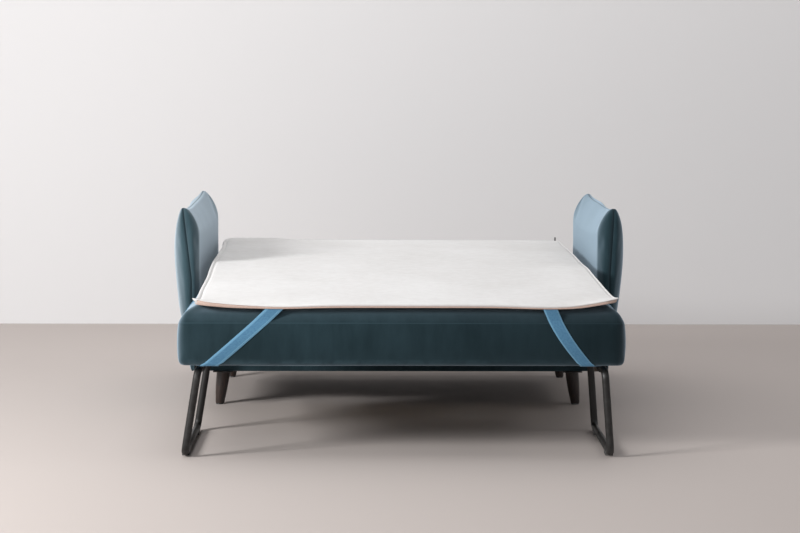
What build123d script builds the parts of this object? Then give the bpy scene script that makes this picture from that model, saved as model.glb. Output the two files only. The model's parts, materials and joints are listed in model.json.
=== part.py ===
from build123d import *
from math import cos, radians, sin, sqrt
import os

os.makedirs("parts", exist_ok=True)

# Two-seat sofa bed, drawn open as a bed. +X is the right seen from the front, +Y is the rear.
# The origin lies on the floor under the middle of the overall box. Lengths are millimetres.

# Clearances
fit_gap = 0.3
pin_gap = 0.02
running_gap = 0.06
overrun = 20

# Lengths that make up the open bed, from the rear pivot to the strap on the front
seat_depth = 653.1
pivot_spacing = 490
rear_pivot_inset = 83
seat_rear_clearance = 138
strap_thickness = 1.5
strap_gap = 0.4
bed_length = (
    rear_pivot_inset + 2 * pivot_spacing + seat_rear_clearance + seat_depth + strap_gap + strap_thickness
)
rear_y = bed_length / 2
front_y = -rear_y
arm_depth = 975
arm_front_y = rear_y - arm_depth

# Sleeping surface and the folding back: three pivots in one line, equally spaced
seat_top_z = 505
seat_thickness = 193
seat_bottom_z = seat_top_z - seat_thickness
panel_thickness = 93
panel_bottom_z = seat_top_z - panel_thickness
pivot_drop = 15
pivot_z = panel_bottom_z - pivot_drop
rear_pivot_y = rear_y - rear_pivot_inset
crown_pivot_y = rear_pivot_y - pivot_spacing
seat_pivot_y = crown_pivot_y - pivot_spacing

# Half widths that the rails, beams and panels follow
seat_half_width = 743
panel_side_clearance = 1
panel_half_width = seat_half_width - panel_side_clearance
side_rail_underlap = 8
side_rail_inner_x = seat_half_width - side_rail_underlap
runner_ledge_width = 35

# Pivot plates and pins
plate_thickness = 6
inner_plate_x = side_rail_inner_x - runner_ledge_width
plate_side_gap = 2
outer_plate_x = inner_plate_x + plate_thickness + plate_side_gap
lug_radius = 12
lug_leaf_length = 60
pin_radius = 5
pin_head_radius = 8
pin_head_thickness = 3

# Seat box
seat_front_y = front_y + strap_thickness + strap_gap
seat_rear_y = seat_pivot_y - seat_rear_clearance
seat_wall_side = 21
seat_wall_end = 21
seat_wall_top = 13
seat_bulge = 5
seat_edge_radius = 44
seat_corner_radius = 26
seat_foot_radius = 7
lining_thickness = 1.2
seat_rail_height = 40
seat_rail_width = 72
seat_cross_width = 40
seat_foam_radius = 24
welt_drop = 49
welt_z = seat_top_z - welt_drop
welt_height = 3
welt_depth = 2.5

# Elastic webbing under the seat foam
webbing_count = 10
webbing_width = 68
webbing_thickness = 2.5

# Folding panels
panel_wall_side = 20
panel_wall_end = 14
panel_wall_top = 12
panel_bulge = 4
panel_edge_radius = 38
panel_end_gap = 3
panel_front_overhang = 100
panel_rear_overhang = 70
panel_rail_width = 30
panel_rail_height = 25
panel_rail_inset = 12
panel_rail_x = inner_plate_x - panel_rail_inset
tube_wall = 2
slat_count = 5
slat_width = 62
slat_thickness = 9
panel_foam_radius = 18

# Slide beams under the seat and the runners that carry them
side_rail_thickness = 22
side_rail_height = 150
side_rail_drop = 12
side_rail_top_z = seat_bottom_z - side_rail_drop
side_rail_bottom_z = side_rail_top_z - side_rail_height
side_rail_front_gap = 13
side_rail_rear_gap = 24
runner_thickness = 3
runner_drop = 45
runner_bottom_z = side_rail_top_z - runner_drop
runner_height = 41
glide_thickness = 3
beam_width = 26
beam_height = 29.7
beam_side_gap = 2
beam_bottom_z = runner_bottom_z + runner_thickness + fit_gap + glide_thickness
beam_top_z = beam_bottom_z + beam_height
beam_outer_x = side_rail_inner_x - runner_thickness - beam_side_gap
beam_front_inset = 336
beam_rear_reach = 155
beam_rear_y = seat_pivot_y + beam_rear_reach
beam_glide_length = 60
spacer_length = 70

# Low cross rails of the base
cross_rail_drop = 20
cross_rail_bottom_z = side_rail_bottom_z - cross_rail_drop
cross_rail_depth = 35
front_cross_inset = 142
front_cross_y = arm_front_y + front_cross_inset
leg_row_spacing = 630
centre_rail_width = 45
rear_rail_thickness = 22
cross_rail_radius = 4

# Rear pivot brackets
bracket_plate_height = 6
bracket_length = 56

# Arms
arm_thickness = 90
arm_inner_gap = 0.4
arm_bottom_z = side_rail_bottom_z
arm_rise = 260
arm_peak_z = seat_top_z + arm_rise
arm_saddle_depth = 25
arm_edge_inset = 10
arm_side_bow = 9
arm_end_radius = 38
arm_board_thickness = 18
arm_board_cover = 7
arm_board_inset = 85
arm_board_lift = 12
arm_board_height = 470
arm_bolt_radius = 4
arm_bolt_head_radius = 8
arm_bolt_head_height = 3.5
arm_bolt_lift = 62
arm_bolt_z = side_rail_bottom_z + arm_bolt_lift
arm_bolt_count = 3

# Wooden legs
leg_top_radius = 25.5
leg_foot_radius = 16.5
leg_side_gap = 5
leg_splay = 14.5
leg_top_x = inner_plate_x - leg_side_gap - leg_top_radius
leg_foot_x = leg_top_x + leg_splay
leg_plate_length = 76
leg_plate_width = 62
leg_plate_thickness = 3
leg_stud_radius = 4
leg_stud_depth = 32
leg_glide_thickness = 5
leg_chamfer = 1.5
leg_height_shares = (0, 0.55, 1)
leg_radius_shares = (0, 0.77, 1)

# Sled legs under the seat
sled_tube_radius = 12.5
sled_side_inset = 67
sled_hinge_drop = 22
sled_front_inset = 13
sled_rear_inset = 142
sled_hinge_x = seat_half_width - sled_side_inset
sled_hinge_z = seat_bottom_z - sled_hinge_drop
sled_front_y = front_y + sled_front_inset
sled_rear_y = seat_rear_y - sled_rear_inset
sled_bend_radius = 28
sled_splay_left_deg = 9.3
sled_splay_right_deg = 4.6
sled_pad_thickness = 2.5
sled_pad_length = 46
sled_pad_inset = 46
clamp_length = 34
clamp_wall = 6
clamp_foot_width = 30
clamp_foot_thickness = 4
clamp_inset = 130

# Topper
topper_side_inset = 37
topper_width = 2 * (seat_half_width - topper_side_inset)
topper_shift_x = 6
topper_front_inset = 10
topper_rear_inset = 13
topper_front_thickness = 17
topper_middle_rise = 30
topper_rear_thickness = 46
topper_edge_radius = 6
topper_corner_radius = 24
topper_side_bulge = 6

# Elastic straps at the front corners
strap_width = 40
strap_top_inset_left = 327
strap_foot_inset_left = 109
strap_top_inset_right = 256
strap_foot_inset_right = 127
strap_top_x_left = seat_half_width - strap_top_inset_left
strap_foot_x_left = seat_half_width - strap_foot_inset_left
strap_top_x_right = seat_half_width - strap_top_inset_right
strap_foot_x_right = seat_half_width - strap_foot_inset_right
strap_side_front_inset = 106
strap_side_rear_inset = 330

# Zip at the rear edge of the topper
zip_tape_width = 12
zip_tape_thickness = 1.2
zip_end_inset = 31
zip_drop = 12
zip_slider_inset = 37
zip_slider_length = 12
zip_slider_width = 9
zip_slider_thickness = 3.5
zip_pull_length = 34
zip_pull_width = 6
zip_pull_thickness = 1.6

LEFT, RIGHT = -1, 1
SIDES = {"left": LEFT, "right": RIGHT}


def save(part, label):
    """Name a finished piece and write it."""
    part.label = label
    export_step(part, f"parts/{label}.step")


def slab(x_span, y_span, z_span, mode=Mode.ADD):
    """Add a block between two places on each axis."""
    spans = (x_span, y_span, z_span)
    middle = tuple((low + high) / 2 for low, high in spans)
    size = tuple(abs(high - low) for low, high in spans)
    with Locations(middle):
        Box(*size, mode=mode)


def sided(side, near_x, far_x):
    """Give the span in X of a piece on one side."""
    return sorted((side * near_x, side * far_x))


def rod(plane, radius, length, mode=Mode.ADD):
    """Add a round bar that starts on a plane and runs along its normal."""
    with BuildSketch(plane) as section:
        Circle(radius)
    extrude(section.sketch, amount=length, mode=mode)


def across(side, x, y, z):
    """Give a plane at a place on one side whose normal points outwards."""
    return Plane(origin=(side * x, y, z), x_dir=(0, 1, 0), z_dir=(side, 0, 0))


def upright_plane(side, x, y):
    """Give a plane at a pivot whose normal points outwards and whose own Y axis points up."""
    return Plane(origin=(side * x, y, pivot_z), x_dir=(0, side, 0), z_dir=(side, 0, 0))


def bulged_profile(plane, u_span, v_span, bulge, top_radius, foot_radius):
    """Draw a closed outline with bowed ends and a crowned top over a flat foot."""
    (low_u, high_u), (low_v, high_v) = u_span, v_span
    middle_u = (low_u + high_u) / 2
    middle_v = (low_v + high_v) / 2
    foot_left = (low_u + bulge, low_v)
    foot_right = (high_u - bulge, low_v)
    top_left = (low_u + bulge, high_v - bulge)
    top_right = (high_u - bulge, high_v - bulge)
    with BuildSketch(plane) as profile:
        with BuildLine():
            Line(foot_left, foot_right)
            ThreePointArc(foot_right, (high_u, middle_v), top_right)
            ThreePointArc(top_right, (middle_u, high_v), top_left)
            ThreePointArc(top_left, (low_u, middle_v), foot_left)
        make_face()
        fillet(profile.vertices().sort_by(Axis.Y)[:2], radius=foot_radius)
        fillet(profile.vertices().sort_by(Axis.Y)[-2:], radius=top_radius)
    return profile.sketch


def crowned_block(x_half, y_span, z_span, bulge, top_radius, foot_radius, corner_radius):
    """Build an upholstered block: crowned on top, with bowed sides and ends."""
    depth = y_span[1] - y_span[0]
    middle_y = (y_span[0] + y_span[1]) / 2
    shape = (bulge, top_radius, foot_radius)
    front = bulged_profile(Plane.XZ.offset(-middle_y), (-x_half, x_half), z_span, *shape)
    side = bulged_profile(Plane.YZ, y_span, z_span, *shape)
    with BuildPart() as block:
        extrude(front, amount=depth, both=True)
        extrude(side, amount=x_half + overrun, both=True, mode=Mode.INTERSECT)
        with BuildSketch(Plane.XY.offset(z_span[0] - overrun)):
            with Locations((0, middle_y)):
                RectangleRounded(2 * x_half, depth, corner_radius)
        extrude(amount=z_span[1] - z_span[0] + 2 * overrun, mode=Mode.INTERSECT)
    return block.part


def rounded_block(x_half, y_span, z_span, top_radius):
    """Build a plain block whose top edges are rounded."""
    with BuildPart() as block:
        slab((-x_half, x_half), y_span, z_span)
        fillet(block.edges().group_by(Axis.Z)[-1], top_radius)
    return block.part


# Base: side rails, low cross rails and the rear rail
side_rail_outer_x = side_rail_inner_x + side_rail_thickness
side_rail_front_y = arm_front_y + side_rail_front_gap
side_rail_rear_y = rear_y - side_rail_rear_gap
arm_board_front_y = arm_front_y + arm_board_inset
arm_board_rear_y = rear_y - arm_board_inset
arm_bolt_pitch = (arm_board_rear_y - arm_board_front_y) / arm_bolt_count
arm_bolt_places = [
    arm_board_front_y + arm_bolt_pitch * (index + 1 / 2) for index in range(arm_bolt_count)
]


def side_rail(side):
    """Build a plywood side rail with its bolt holes."""
    with BuildPart() as rail:
        slab(
            sided(side, side_rail_inner_x, side_rail_outer_x),
            (side_rail_front_y, side_rail_rear_y),
            (side_rail_bottom_z, side_rail_top_z),
        )
        for place in arm_bolt_places:
            start = across(side, side_rail_inner_x - overrun, place, arm_bolt_z)
            rod(start, arm_bolt_radius + fit_gap, side_rail_thickness + 2 * overrun, Mode.SUBTRACT)
    return rail.part


def leg_row_y(row):
    """Give the middle of a row of wooden legs."""
    return front_cross_y + cross_rail_depth / 2 + row * leg_row_spacing


def cross_rail(row):
    """Build a low cross rail over one row of legs, with holes for the leg studs."""
    middle_y = leg_row_y(row)
    half_depth = cross_rail_depth / 2
    with BuildPart() as rail:
        slab(
            (-side_rail_outer_x, side_rail_outer_x),
            (middle_y - half_depth, middle_y + half_depth),
            (cross_rail_bottom_z, side_rail_bottom_z),
        )
        fillet(rail.edges().filter_by(Axis.X).group_by(Axis.Z)[0], cross_rail_radius)
        with BuildSketch(Plane.XY.offset(cross_rail_bottom_z - overrun)):
            with Locations((-leg_top_x, middle_y), (leg_top_x, middle_y)):
                Circle(leg_stud_radius + pin_gap)
        extrude(amount=2 * overrun + side_rail_bottom_z - cross_rail_bottom_z, mode=Mode.SUBTRACT)
    return rail.part


for label, side in SIDES.items():
    save(side_rail(side), f"side_rail_{label}")
save(cross_rail(0), "front_rail")
save(cross_rail(1), "middle_rail")

with BuildPart() as centre_rail:
    slab(
        (-centre_rail_width / 2, centre_rail_width / 2),
        (leg_row_y(0) + cross_rail_depth / 2, leg_row_y(1) - cross_rail_depth / 2),
        (cross_rail_bottom_z, side_rail_bottom_z),
    )
save(centre_rail.part, "centre_rail")

with BuildPart() as rear_rail:
    slab(
        (-side_rail_outer_x, side_rail_outer_x),
        (side_rail_rear_y, side_rail_rear_y + rear_rail_thickness),
        (side_rail_bottom_z, side_rail_top_z),
    )
save(rear_rail.part, "rear_rail")

lining_half_width = leg_top_x - leg_plate_length / 2 - overrun / 2
with BuildPart() as base_lining:
    slab(
        (-lining_half_width, lining_half_width),
        (front_cross_y + cross_rail_radius, leg_row_y(1) + cross_rail_depth / 2 - cross_rail_radius),
        (cross_rail_bottom_z - lining_thickness, cross_rail_bottom_z),
    )
save(base_lining.part, "base_lining")


def runner(side):
    """Build a steel angle runner on the inside of a side rail."""
    inner_x = side_rail_inner_x - runner_ledge_width
    y_span = (side_rail_front_y, side_rail_rear_y - fit_gap)
    with BuildPart() as angle:
        slab(
            sided(side, side_rail_inner_x - runner_thickness, side_rail_inner_x),
            y_span,
            (runner_bottom_z, runner_bottom_z + runner_height),
        )
        slab(
            sided(side, inner_x, side_rail_inner_x),
            y_span,
            (runner_bottom_z, runner_bottom_z + runner_thickness),
        )
    return angle.part


def pivot_plate(plane, foot_width, foot_drop):
    """Add a plate with a round head about its plane's origin and a wider foot below it."""
    half_foot = foot_width / 2
    with BuildSketch(plane) as outline:
        Circle(lug_radius)
        with BuildLine():
            Polyline(
                (-lug_radius, 0),
                (lug_radius, 0),
                (half_foot, -foot_drop),
                (-half_foot, -foot_drop),
                close=True,
            )
        make_face()
    extrude(outline.sketch, amount=plate_thickness)


def pivot_hole(side, y, z, radius):
    """Cut the hole for a pivot pin through the plates on one side."""
    start = across(side, inner_plate_x - overrun, y, z)
    rod(start, radius, 2 * overrun + 2 * plate_thickness + plate_side_gap, Mode.SUBTRACT)


def rear_bracket(side):
    """Build the bracket on a side rail that carries the rear pivot."""
    drop = pivot_z - side_rail_top_z - bracket_plate_height
    with BuildPart() as bracket:
        slab(
            sided(side, outer_plate_x, side_rail_outer_x),
            (rear_pivot_y - bracket_length / 2, rear_pivot_y + bracket_length / 2),
            (side_rail_top_z, side_rail_top_z + bracket_plate_height),
        )
        upright = upright_plane(side, outer_plate_x, rear_pivot_y)
        pivot_plate(upright, bracket_length * 3 / 4, drop)
        pivot_hole(side, rear_pivot_y, pivot_z, pin_radius + running_gap)
    return bracket.part


for label, side in SIDES.items():
    save(runner(side), f"runner_{label}")
    save(rear_bracket(side), f"rear_bracket_{label}")


# Arms: a board inside a pillow-shaped pad
arm_inner_x = side_rail_outer_x + arm_inner_gap
arm_board_middle_x = arm_inner_x + arm_board_cover + arm_board_thickness / 2
arm_height_shares = (0, 0.16, 0.34, 0.52, 0.7, 0.84, 0.93, 1)
arm_inner_shares = (0.01, 0, -0.03, -0.07, -0.11, -0.08, 0.05, 0.4)
arm_outer_shares = (0.36, 0.52, 0.68, 0.78, 0.84, 0.84, 0.76, 0.56)
arm_seam_share = 0.5


def arm_section(side, height_share, inner_share, outer_share):
    """Draw one level of the pad: two bowed faces that turn round into the front and rear edges."""
    level = arm_bottom_z + (arm_peak_z - arm_bottom_z) * height_share
    inner_x, outer_x = (arm_inner_x + arm_thickness * share for share in (inner_share, outer_share))
    fullness = outer_share - inner_share
    near = arm_front_y + arm_edge_inset * (1 - fullness)
    far = rear_y - arm_edge_inset * (1 - fullness)
    depth = arm_end_radius * fullness
    bow = arm_side_bow * fullness
    middle_x = side * (inner_x + (outer_x - inner_x) * arm_seam_share)
    inner_x, outer_x = side * inner_x, side * outer_x
    bowed_x = outer_x + side * bow
    middle_y = (near + far) / 2
    with BuildSketch(Plane.XY.offset(level)) as section:
        with BuildLine():
            Line((inner_x, near + depth), (inner_x, far - depth))
            ThreePointArc((inner_x, far - depth), (middle_x, far), (outer_x, far - depth))
            ThreePointArc((outer_x, far - depth), (bowed_x, middle_y), (outer_x, near + depth))
            ThreePointArc((outer_x, near + depth), (middle_x, near), (inner_x, near + depth))
        make_face()
    return section.sketch


def arm_pad(side):
    """Build an arm pad: swollen in the middle, thin at its edges, dipped between two peaks."""
    middle_y = (arm_front_y + rear_y) / 2
    sections = [
        arm_section(side, *shares)
        for shares in zip(arm_height_shares, arm_inner_shares, arm_outer_shares)
    ]
    with BuildPart() as pad:
        loft(sections)
        with BuildSketch(Plane.YZ):
            with BuildLine():
                Line((arm_front_y - overrun, arm_bottom_z), (rear_y + overrun, arm_bottom_z))
                Line((rear_y + overrun, arm_bottom_z), (rear_y + overrun, arm_peak_z))
                ThreePointArc(
                    (rear_y + overrun, arm_peak_z),
                    (middle_y, arm_peak_z - arm_saddle_depth),
                    (arm_front_y - overrun, arm_peak_z),
                )
                Line((arm_front_y - overrun, arm_peak_z), (arm_front_y - overrun, arm_bottom_z))
            make_face()
        extrude(amount=arm_inner_x + 2 * arm_thickness, both=True, mode=Mode.INTERSECT)
        slab(
            sided(side, side_rail_inner_x - overrun, arm_inner_x),
            (arm_front_y - overrun, rear_y + overrun),
            (arm_bottom_z - overrun, side_rail_top_z + bracket_plate_height + fit_gap),
            Mode.SUBTRACT,
        )
        board_half = arm_board_thickness / 2 + fit_gap
        slab(
            sided(side, arm_board_middle_x - board_half, arm_board_middle_x + board_half),
            (arm_board_front_y - fit_gap, arm_board_rear_y + fit_gap),
            (arm_bottom_z - overrun, arm_bottom_z + arm_board_lift + arm_board_height + fit_gap),
            Mode.SUBTRACT,
        )
        for place in arm_bolt_places:
            start = across(side, side_rail_inner_x, place, arm_bolt_z)
            rod(start, arm_bolt_radius + fit_gap, arm_board_middle_x - side_rail_inner_x, Mode.SUBTRACT)
    return pad.part


def arm_board(side):
    """Build the board that stiffens an arm, with its bolt holes."""
    board_half = arm_board_thickness / 2
    board_bottom_z = arm_bottom_z + arm_board_lift
    with BuildPart() as board:
        slab(
            sided(side, arm_board_middle_x - board_half, arm_board_middle_x + board_half),
            (arm_board_front_y, arm_board_rear_y),
            (board_bottom_z, board_bottom_z + arm_board_height),
        )
        for place in arm_bolt_places:
            start = across(side, arm_board_middle_x - overrun, place, arm_bolt_z)
            rod(start, arm_bolt_radius + fit_gap, 2 * overrun, Mode.SUBTRACT)
    return board.part


for label, side in SIDES.items():
    save(arm_pad(side), f"arm_pad_{label}")
    save(arm_board(side), f"arm_board_{label}")

with BuildPart() as arm_bolts:
    for side in SIDES.values():
        for place in arm_bolt_places:
            head = across(side, side_rail_inner_x - arm_bolt_head_height, place, arm_bolt_z)
            rod(head, arm_bolt_head_radius, arm_bolt_head_height)
            shank = across(side, side_rail_inner_x, place, arm_bolt_z)
            rod(shank, arm_bolt_radius, arm_board_middle_x - side_rail_inner_x)
save(arm_bolts.part, "arm_bolts")


# Wooden legs, their plates, studs and glides
leg_top_z = cross_rail_bottom_z - leg_plate_thickness


def wood_leg(side, row):
    """Build a turned leg that leans outwards and narrows to its foot."""
    middle_y = leg_row_y(row)
    with BuildPart() as leg:
        for height_share, radius_share in zip(leg_height_shares, leg_radius_shares):
            height = leg_glide_thickness + (leg_top_z - leg_glide_thickness) * height_share
            place_x = side * (leg_foot_x + (leg_top_x - leg_foot_x) * height_share)
            with BuildSketch(Plane.XY.offset(height)):
                with Locations((place_x, middle_y)):
                    Circle(leg_foot_radius + (leg_top_radius - leg_foot_radius) * radius_share)
        loft()
        chamfer(leg.edges().sort_by(Axis.Z)[-1], leg_chamfer)
        hole = Plane.XY.offset(leg_top_z - leg_stud_depth).move(Location((side * leg_top_x, middle_y)))
        rod(hole, leg_stud_radius + pin_gap, leg_stud_depth + overrun, Mode.SUBTRACT)
    return leg.part


def each_leg():
    """Give the side and row of every wooden leg."""
    return [(side, row) for side in SIDES.values() for row in (0, 1)]


for label, side in SIDES.items():
    for row, row_label in enumerate(("front", "rear")):
        save(wood_leg(side, row), f"wood_leg_{row_label}_{label}")

with BuildPart() as leg_plates:
    for side, row in each_leg():
        plate = Plane.XY.offset(leg_top_z).move(Location((side * leg_top_x, leg_row_y(row))))
        with BuildSketch(plate):
            RectangleRounded(leg_plate_length, leg_plate_width, leg_chamfer)
            Circle(leg_stud_radius + pin_gap, mode=Mode.SUBTRACT)
        extrude(amount=leg_plate_thickness)
save(leg_plates.part, "leg_plates")

with BuildPart() as leg_studs:
    for side, row in each_leg():
        start = Plane.XY.offset(leg_top_z - leg_stud_depth)
        rod(
            start.move(Location((side * leg_top_x, leg_row_y(row)))),
            leg_stud_radius,
            side_rail_bottom_z - leg_top_z + leg_stud_depth,
        )
save(leg_studs.part, "leg_studs")

with BuildPart() as leg_glides:
    for side, row in each_leg():
        foot = Plane.XY.move(Location((side * leg_foot_x, leg_row_y(row))))
        rod(foot, leg_foot_radius - leg_chamfer, leg_glide_thickness)
save(leg_glides.part, "leg_glides")


# Folding panels: each has two steel rails, slats, foam and a cover
rear_panel_span = (crown_pivot_y + panel_end_gap, rear_pivot_y + panel_rear_overhang)
back_panel_span = (seat_pivot_y - panel_front_overhang, crown_pivot_y - panel_end_gap)
panel_rail_top_z = panel_bottom_z + panel_rail_height
panel_foam_bottom_z = panel_rail_top_z + slat_thickness + fit_gap
panel_foam_top_z = seat_top_z - panel_wall_top


def inner_span(span, wall):
    """Give what is left of a span inside two walls."""
    return (span[0] + wall, span[1] - wall)


def lug_leaf(place, rail_span):
    """Give where a lug's leaf meets its rail: along the rail from an end pivot, about an inner one."""
    low_end, high_end = inner_span(rail_span, lug_leaf_length)
    if place < rail_span[0]:
        return (place, low_end)
    if place > rail_span[1]:
        return (high_end, place)
    return (place - lug_radius, place + lug_radius)


def panel_rail(side, span, lug_places):
    """Build a tube rail with a pivot lug below it at each place, given with its plate's X."""
    y_span = inner_span(span, panel_wall_end + fit_gap)
    x_near, x_far = sided(side, panel_rail_x, panel_rail_x + panel_rail_width)
    with BuildPart() as rail:
        slab((x_near, x_far), y_span, (panel_bottom_z, panel_rail_top_z))
        slab(
            (x_near + tube_wall, x_far - tube_wall),
            y_span,
            (panel_bottom_z + tube_wall, panel_rail_top_z - tube_wall),
            Mode.SUBTRACT,
        )
        for place, plate_x in lug_places:
            rod(across(side, plate_x, place, pivot_z), lug_radius, plate_thickness)
            slab(
                sided(side, plate_x, plate_x + plate_thickness),
                lug_leaf(place, y_span),
                (pivot_z - lug_radius / 2, panel_bottom_z),
            )
            hole = across(side, inner_plate_x - overrun, place, pivot_z)
            clearance = pin_gap if plate_x == inner_plate_x else running_gap
            rod(hole, pin_radius + clearance, 2 * overrun + 2 * plate_thickness, Mode.SUBTRACT)
    return rail.part


def panel_slats(span):
    """Build the row of slats that lies on a panel's rails."""
    low, high = inner_span(span, panel_wall_end + slat_width)
    pitch = (high - low) / (slat_count - 1)
    half_width = panel_rail_x + panel_rail_width
    with BuildPart() as slats:
        for index in range(slat_count):
            middle = low + pitch * index
            slab(
                (-half_width, half_width),
                (middle - slat_width / 2, middle + slat_width / 2),
                (panel_rail_top_z, panel_rail_top_z + slat_thickness),
            )
    return slats.part


def panel_foam(span):
    """Build the foam block that fills a panel's cover."""
    half_width = panel_half_width - panel_wall_side - fit_gap
    y_span = inner_span(span, panel_wall_end + fit_gap)
    z_span = (panel_foam_bottom_z, panel_foam_top_z - fit_gap)
    return rounded_block(half_width, y_span, z_span, panel_foam_radius)


def panel_cover(span):
    """Build a panel's padded cover, open underneath over its rails and slats."""
    half_width = panel_half_width - panel_wall_side
    z_span = (panel_bottom_z, seat_top_z)
    shape = (panel_bulge, panel_edge_radius, seat_foot_radius, seat_corner_radius)
    hollow_z = (panel_bottom_z - overrun, panel_foam_top_z)
    hollow = rounded_block(half_width, inner_span(span, panel_wall_end), hollow_z, panel_foam_radius)
    with BuildPart() as cover:
        add(crowned_block(panel_half_width, span, z_span, *shape))
        add(hollow, mode=Mode.SUBTRACT)
    return cover.part


PANELS = {
    "rear_panel": (
        rear_panel_span,
        ((rear_pivot_y, inner_plate_x), (crown_pivot_y, inner_plate_x)),
    ),
    "back_panel": (
        back_panel_span,
        ((crown_pivot_y, outer_plate_x), (seat_pivot_y, inner_plate_x)),
    ),
}

for label, (span, lug_places) in PANELS.items():
    for side_label, side in SIDES.items():
        save(panel_rail(side, span, lug_places), f"{label}_rail_{side_label}")
    save(panel_slats(span), f"{label}_slats")
    save(panel_foam(span), f"{label}_foam")
    save(panel_cover(span), f"{label}_cover")


def pivot_pins(place):
    """Build the pair of headed pins at one pivot line."""
    length = 2 * plate_thickness + plate_side_gap + running_gap
    with BuildPart() as pins:
        for side in SIDES.values():
            start = across(side, inner_plate_x, place, pivot_z)
            rod(start, pin_radius, length)
            head = across(side, inner_plate_x - pin_head_thickness, place, pivot_z)
            rod(head, pin_head_radius, pin_head_thickness)
    return pins.part


PIVOTS = {"rear": rear_pivot_y, "crown": crown_pivot_y, "seat": seat_pivot_y}
for label, place in PIVOTS.items():
    save(pivot_pins(place), f"{label}_pivot_pins")


# Seat box: rails, webbing, foam, cover and lining
seat_span = (seat_front_y, seat_rear_y)
seat_inner_half = seat_half_width - seat_wall_side
seat_inner_span = inner_span(seat_span, seat_wall_end)
seat_frame_span = inner_span(seat_inner_span, fit_gap)
seat_frame_half = seat_inner_half - fit_gap
seat_rail_bottom_z = seat_bottom_z + lining_thickness
seat_rail_top_z = seat_rail_bottom_z + seat_rail_height
seat_foam_bottom_z = seat_rail_top_z + webbing_thickness + fit_gap
seat_foam_top_z = seat_top_z - seat_wall_top
seat_rail_inner_x = seat_frame_half - seat_rail_width

for label, side in SIDES.items():
    with BuildPart() as seat_rail:
        slab(
            sided(side, seat_rail_inner_x, seat_frame_half),
            seat_frame_span,
            (seat_rail_bottom_z, seat_rail_top_z),
        )
    save(seat_rail.part, f"seat_rail_{label}")

SEAT_CROSS_RAILS = {
    "front": (seat_frame_span[0], seat_frame_span[0] + seat_cross_width),
    "rear": (seat_frame_span[1] - seat_cross_width, seat_frame_span[1]),
}
for label, span in SEAT_CROSS_RAILS.items():
    with BuildPart() as seat_cross:
        slab(
            (-seat_rail_inner_x, seat_rail_inner_x),
            span,
            (seat_rail_bottom_z, seat_rail_top_z),
        )
    save(seat_cross.part, f"seat_rail_{label}")


webbing_pitch = 2 * seat_frame_half / webbing_count
with BuildPart() as seat_webbing:
    for index in range(webbing_count):
        middle_x = (index - (webbing_count - 1) / 2) * webbing_pitch
        slab(
            (middle_x - webbing_width / 2, middle_x + webbing_width / 2),
            seat_frame_span,
            (seat_rail_top_z, seat_rail_top_z + webbing_thickness),
        )
save(seat_webbing.part, "seat_webbing")

seat_foam_z = (seat_foam_bottom_z, seat_foam_top_z - fit_gap)
save(rounded_block(seat_frame_half, seat_frame_span, seat_foam_z, seat_foam_radius), "seat_foam")


def welt_groove():
    """Build the narrow band that the sewn seam takes out of the seat cover."""
    inset_span = inner_span(seat_span, welt_depth)
    inset_half = seat_half_width - welt_depth
    shape = (seat_bulge, seat_edge_radius, seat_foot_radius, seat_corner_radius)
    with BuildPart() as groove:
        slab(
            (-seat_half_width - overrun, seat_half_width + overrun),
            inner_span(seat_span, -overrun),
            (welt_z - welt_height / 2, welt_z + welt_height / 2),
        )
        core = crowned_block(inset_half, inset_span, (seat_bottom_z, seat_top_z), *shape)
        add(core, mode=Mode.SUBTRACT)
    return groove.part


with BuildPart() as seat_cover:
    shape = (seat_bulge, seat_edge_radius, seat_foot_radius, seat_corner_radius)
    add(crowned_block(seat_half_width, seat_span, (seat_bottom_z, seat_top_z), *shape))
    hollow_z = (seat_bottom_z - overrun, seat_foam_top_z)
    hollow = rounded_block(seat_inner_half, seat_inner_span, hollow_z, seat_foam_radius)
    add(hollow, mode=Mode.SUBTRACT)
    add(welt_groove(), mode=Mode.SUBTRACT)
save(seat_cover.part, "seat_cover")

with BuildPart() as seat_lining:
    slab((-seat_frame_half, seat_frame_half), seat_frame_span, (seat_bottom_z, seat_rail_bottom_z))
save(seat_lining.part, "seat_lining")


# Slide beams, their glides and the spacers that carry the seat on them
beam_front_y = seat_front_y + beam_front_inset
beam_inner_x = beam_outer_x - beam_width


def slide_beam(side):
    """Build a steel slide beam with the upright plate of the seat pivot."""
    x_near, x_far = sided(side, beam_inner_x, beam_outer_x)
    with BuildPart() as beam:
        slab((x_near, x_far), (beam_front_y, beam_rear_y), (beam_bottom_z, beam_top_z))
        slab(
            (x_near + tube_wall, x_far - tube_wall),
            (beam_front_y, beam_rear_y),
            (beam_bottom_z + tube_wall, beam_top_z - tube_wall),
            Mode.SUBTRACT,
        )
        upright = upright_plane(side, outer_plate_x, seat_pivot_y)
        pivot_plate(upright, 2 * lug_radius, pivot_z - beam_top_z)
        pivot_hole(side, seat_pivot_y, pivot_z, pin_radius + running_gap)
    return beam.part


for label, side in SIDES.items():
    save(slide_beam(side), f"slide_beam_{label}")

with BuildPart() as beam_glides:
    for side in SIDES.values():
        slab(
            sided(side, beam_inner_x, beam_outer_x),
            (beam_rear_y - beam_glide_length, beam_rear_y),
            (beam_bottom_z - glide_thickness, beam_bottom_z),
        )
save(beam_glides.part, "beam_glides")

spacer_place_shares = (1 / 6, 1 / 2, 5 / 6)
with BuildPart() as beam_spacers:
    for side in SIDES.values():
        for share in spacer_place_shares:
            place = beam_front_y + (seat_rear_y - beam_front_y) * share
            slab(
                sided(side, beam_inner_x, seat_frame_half),
                (place - spacer_length / 2, place + spacer_length / 2),
                (beam_top_z, seat_bottom_z),
            )
save(beam_spacers.part, "beam_spacers")


# Sled legs: closed tube loops that turn in clamps under the seat
SPLAYS = {"left": sled_splay_left_deg, "right": sled_splay_right_deg}


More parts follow.
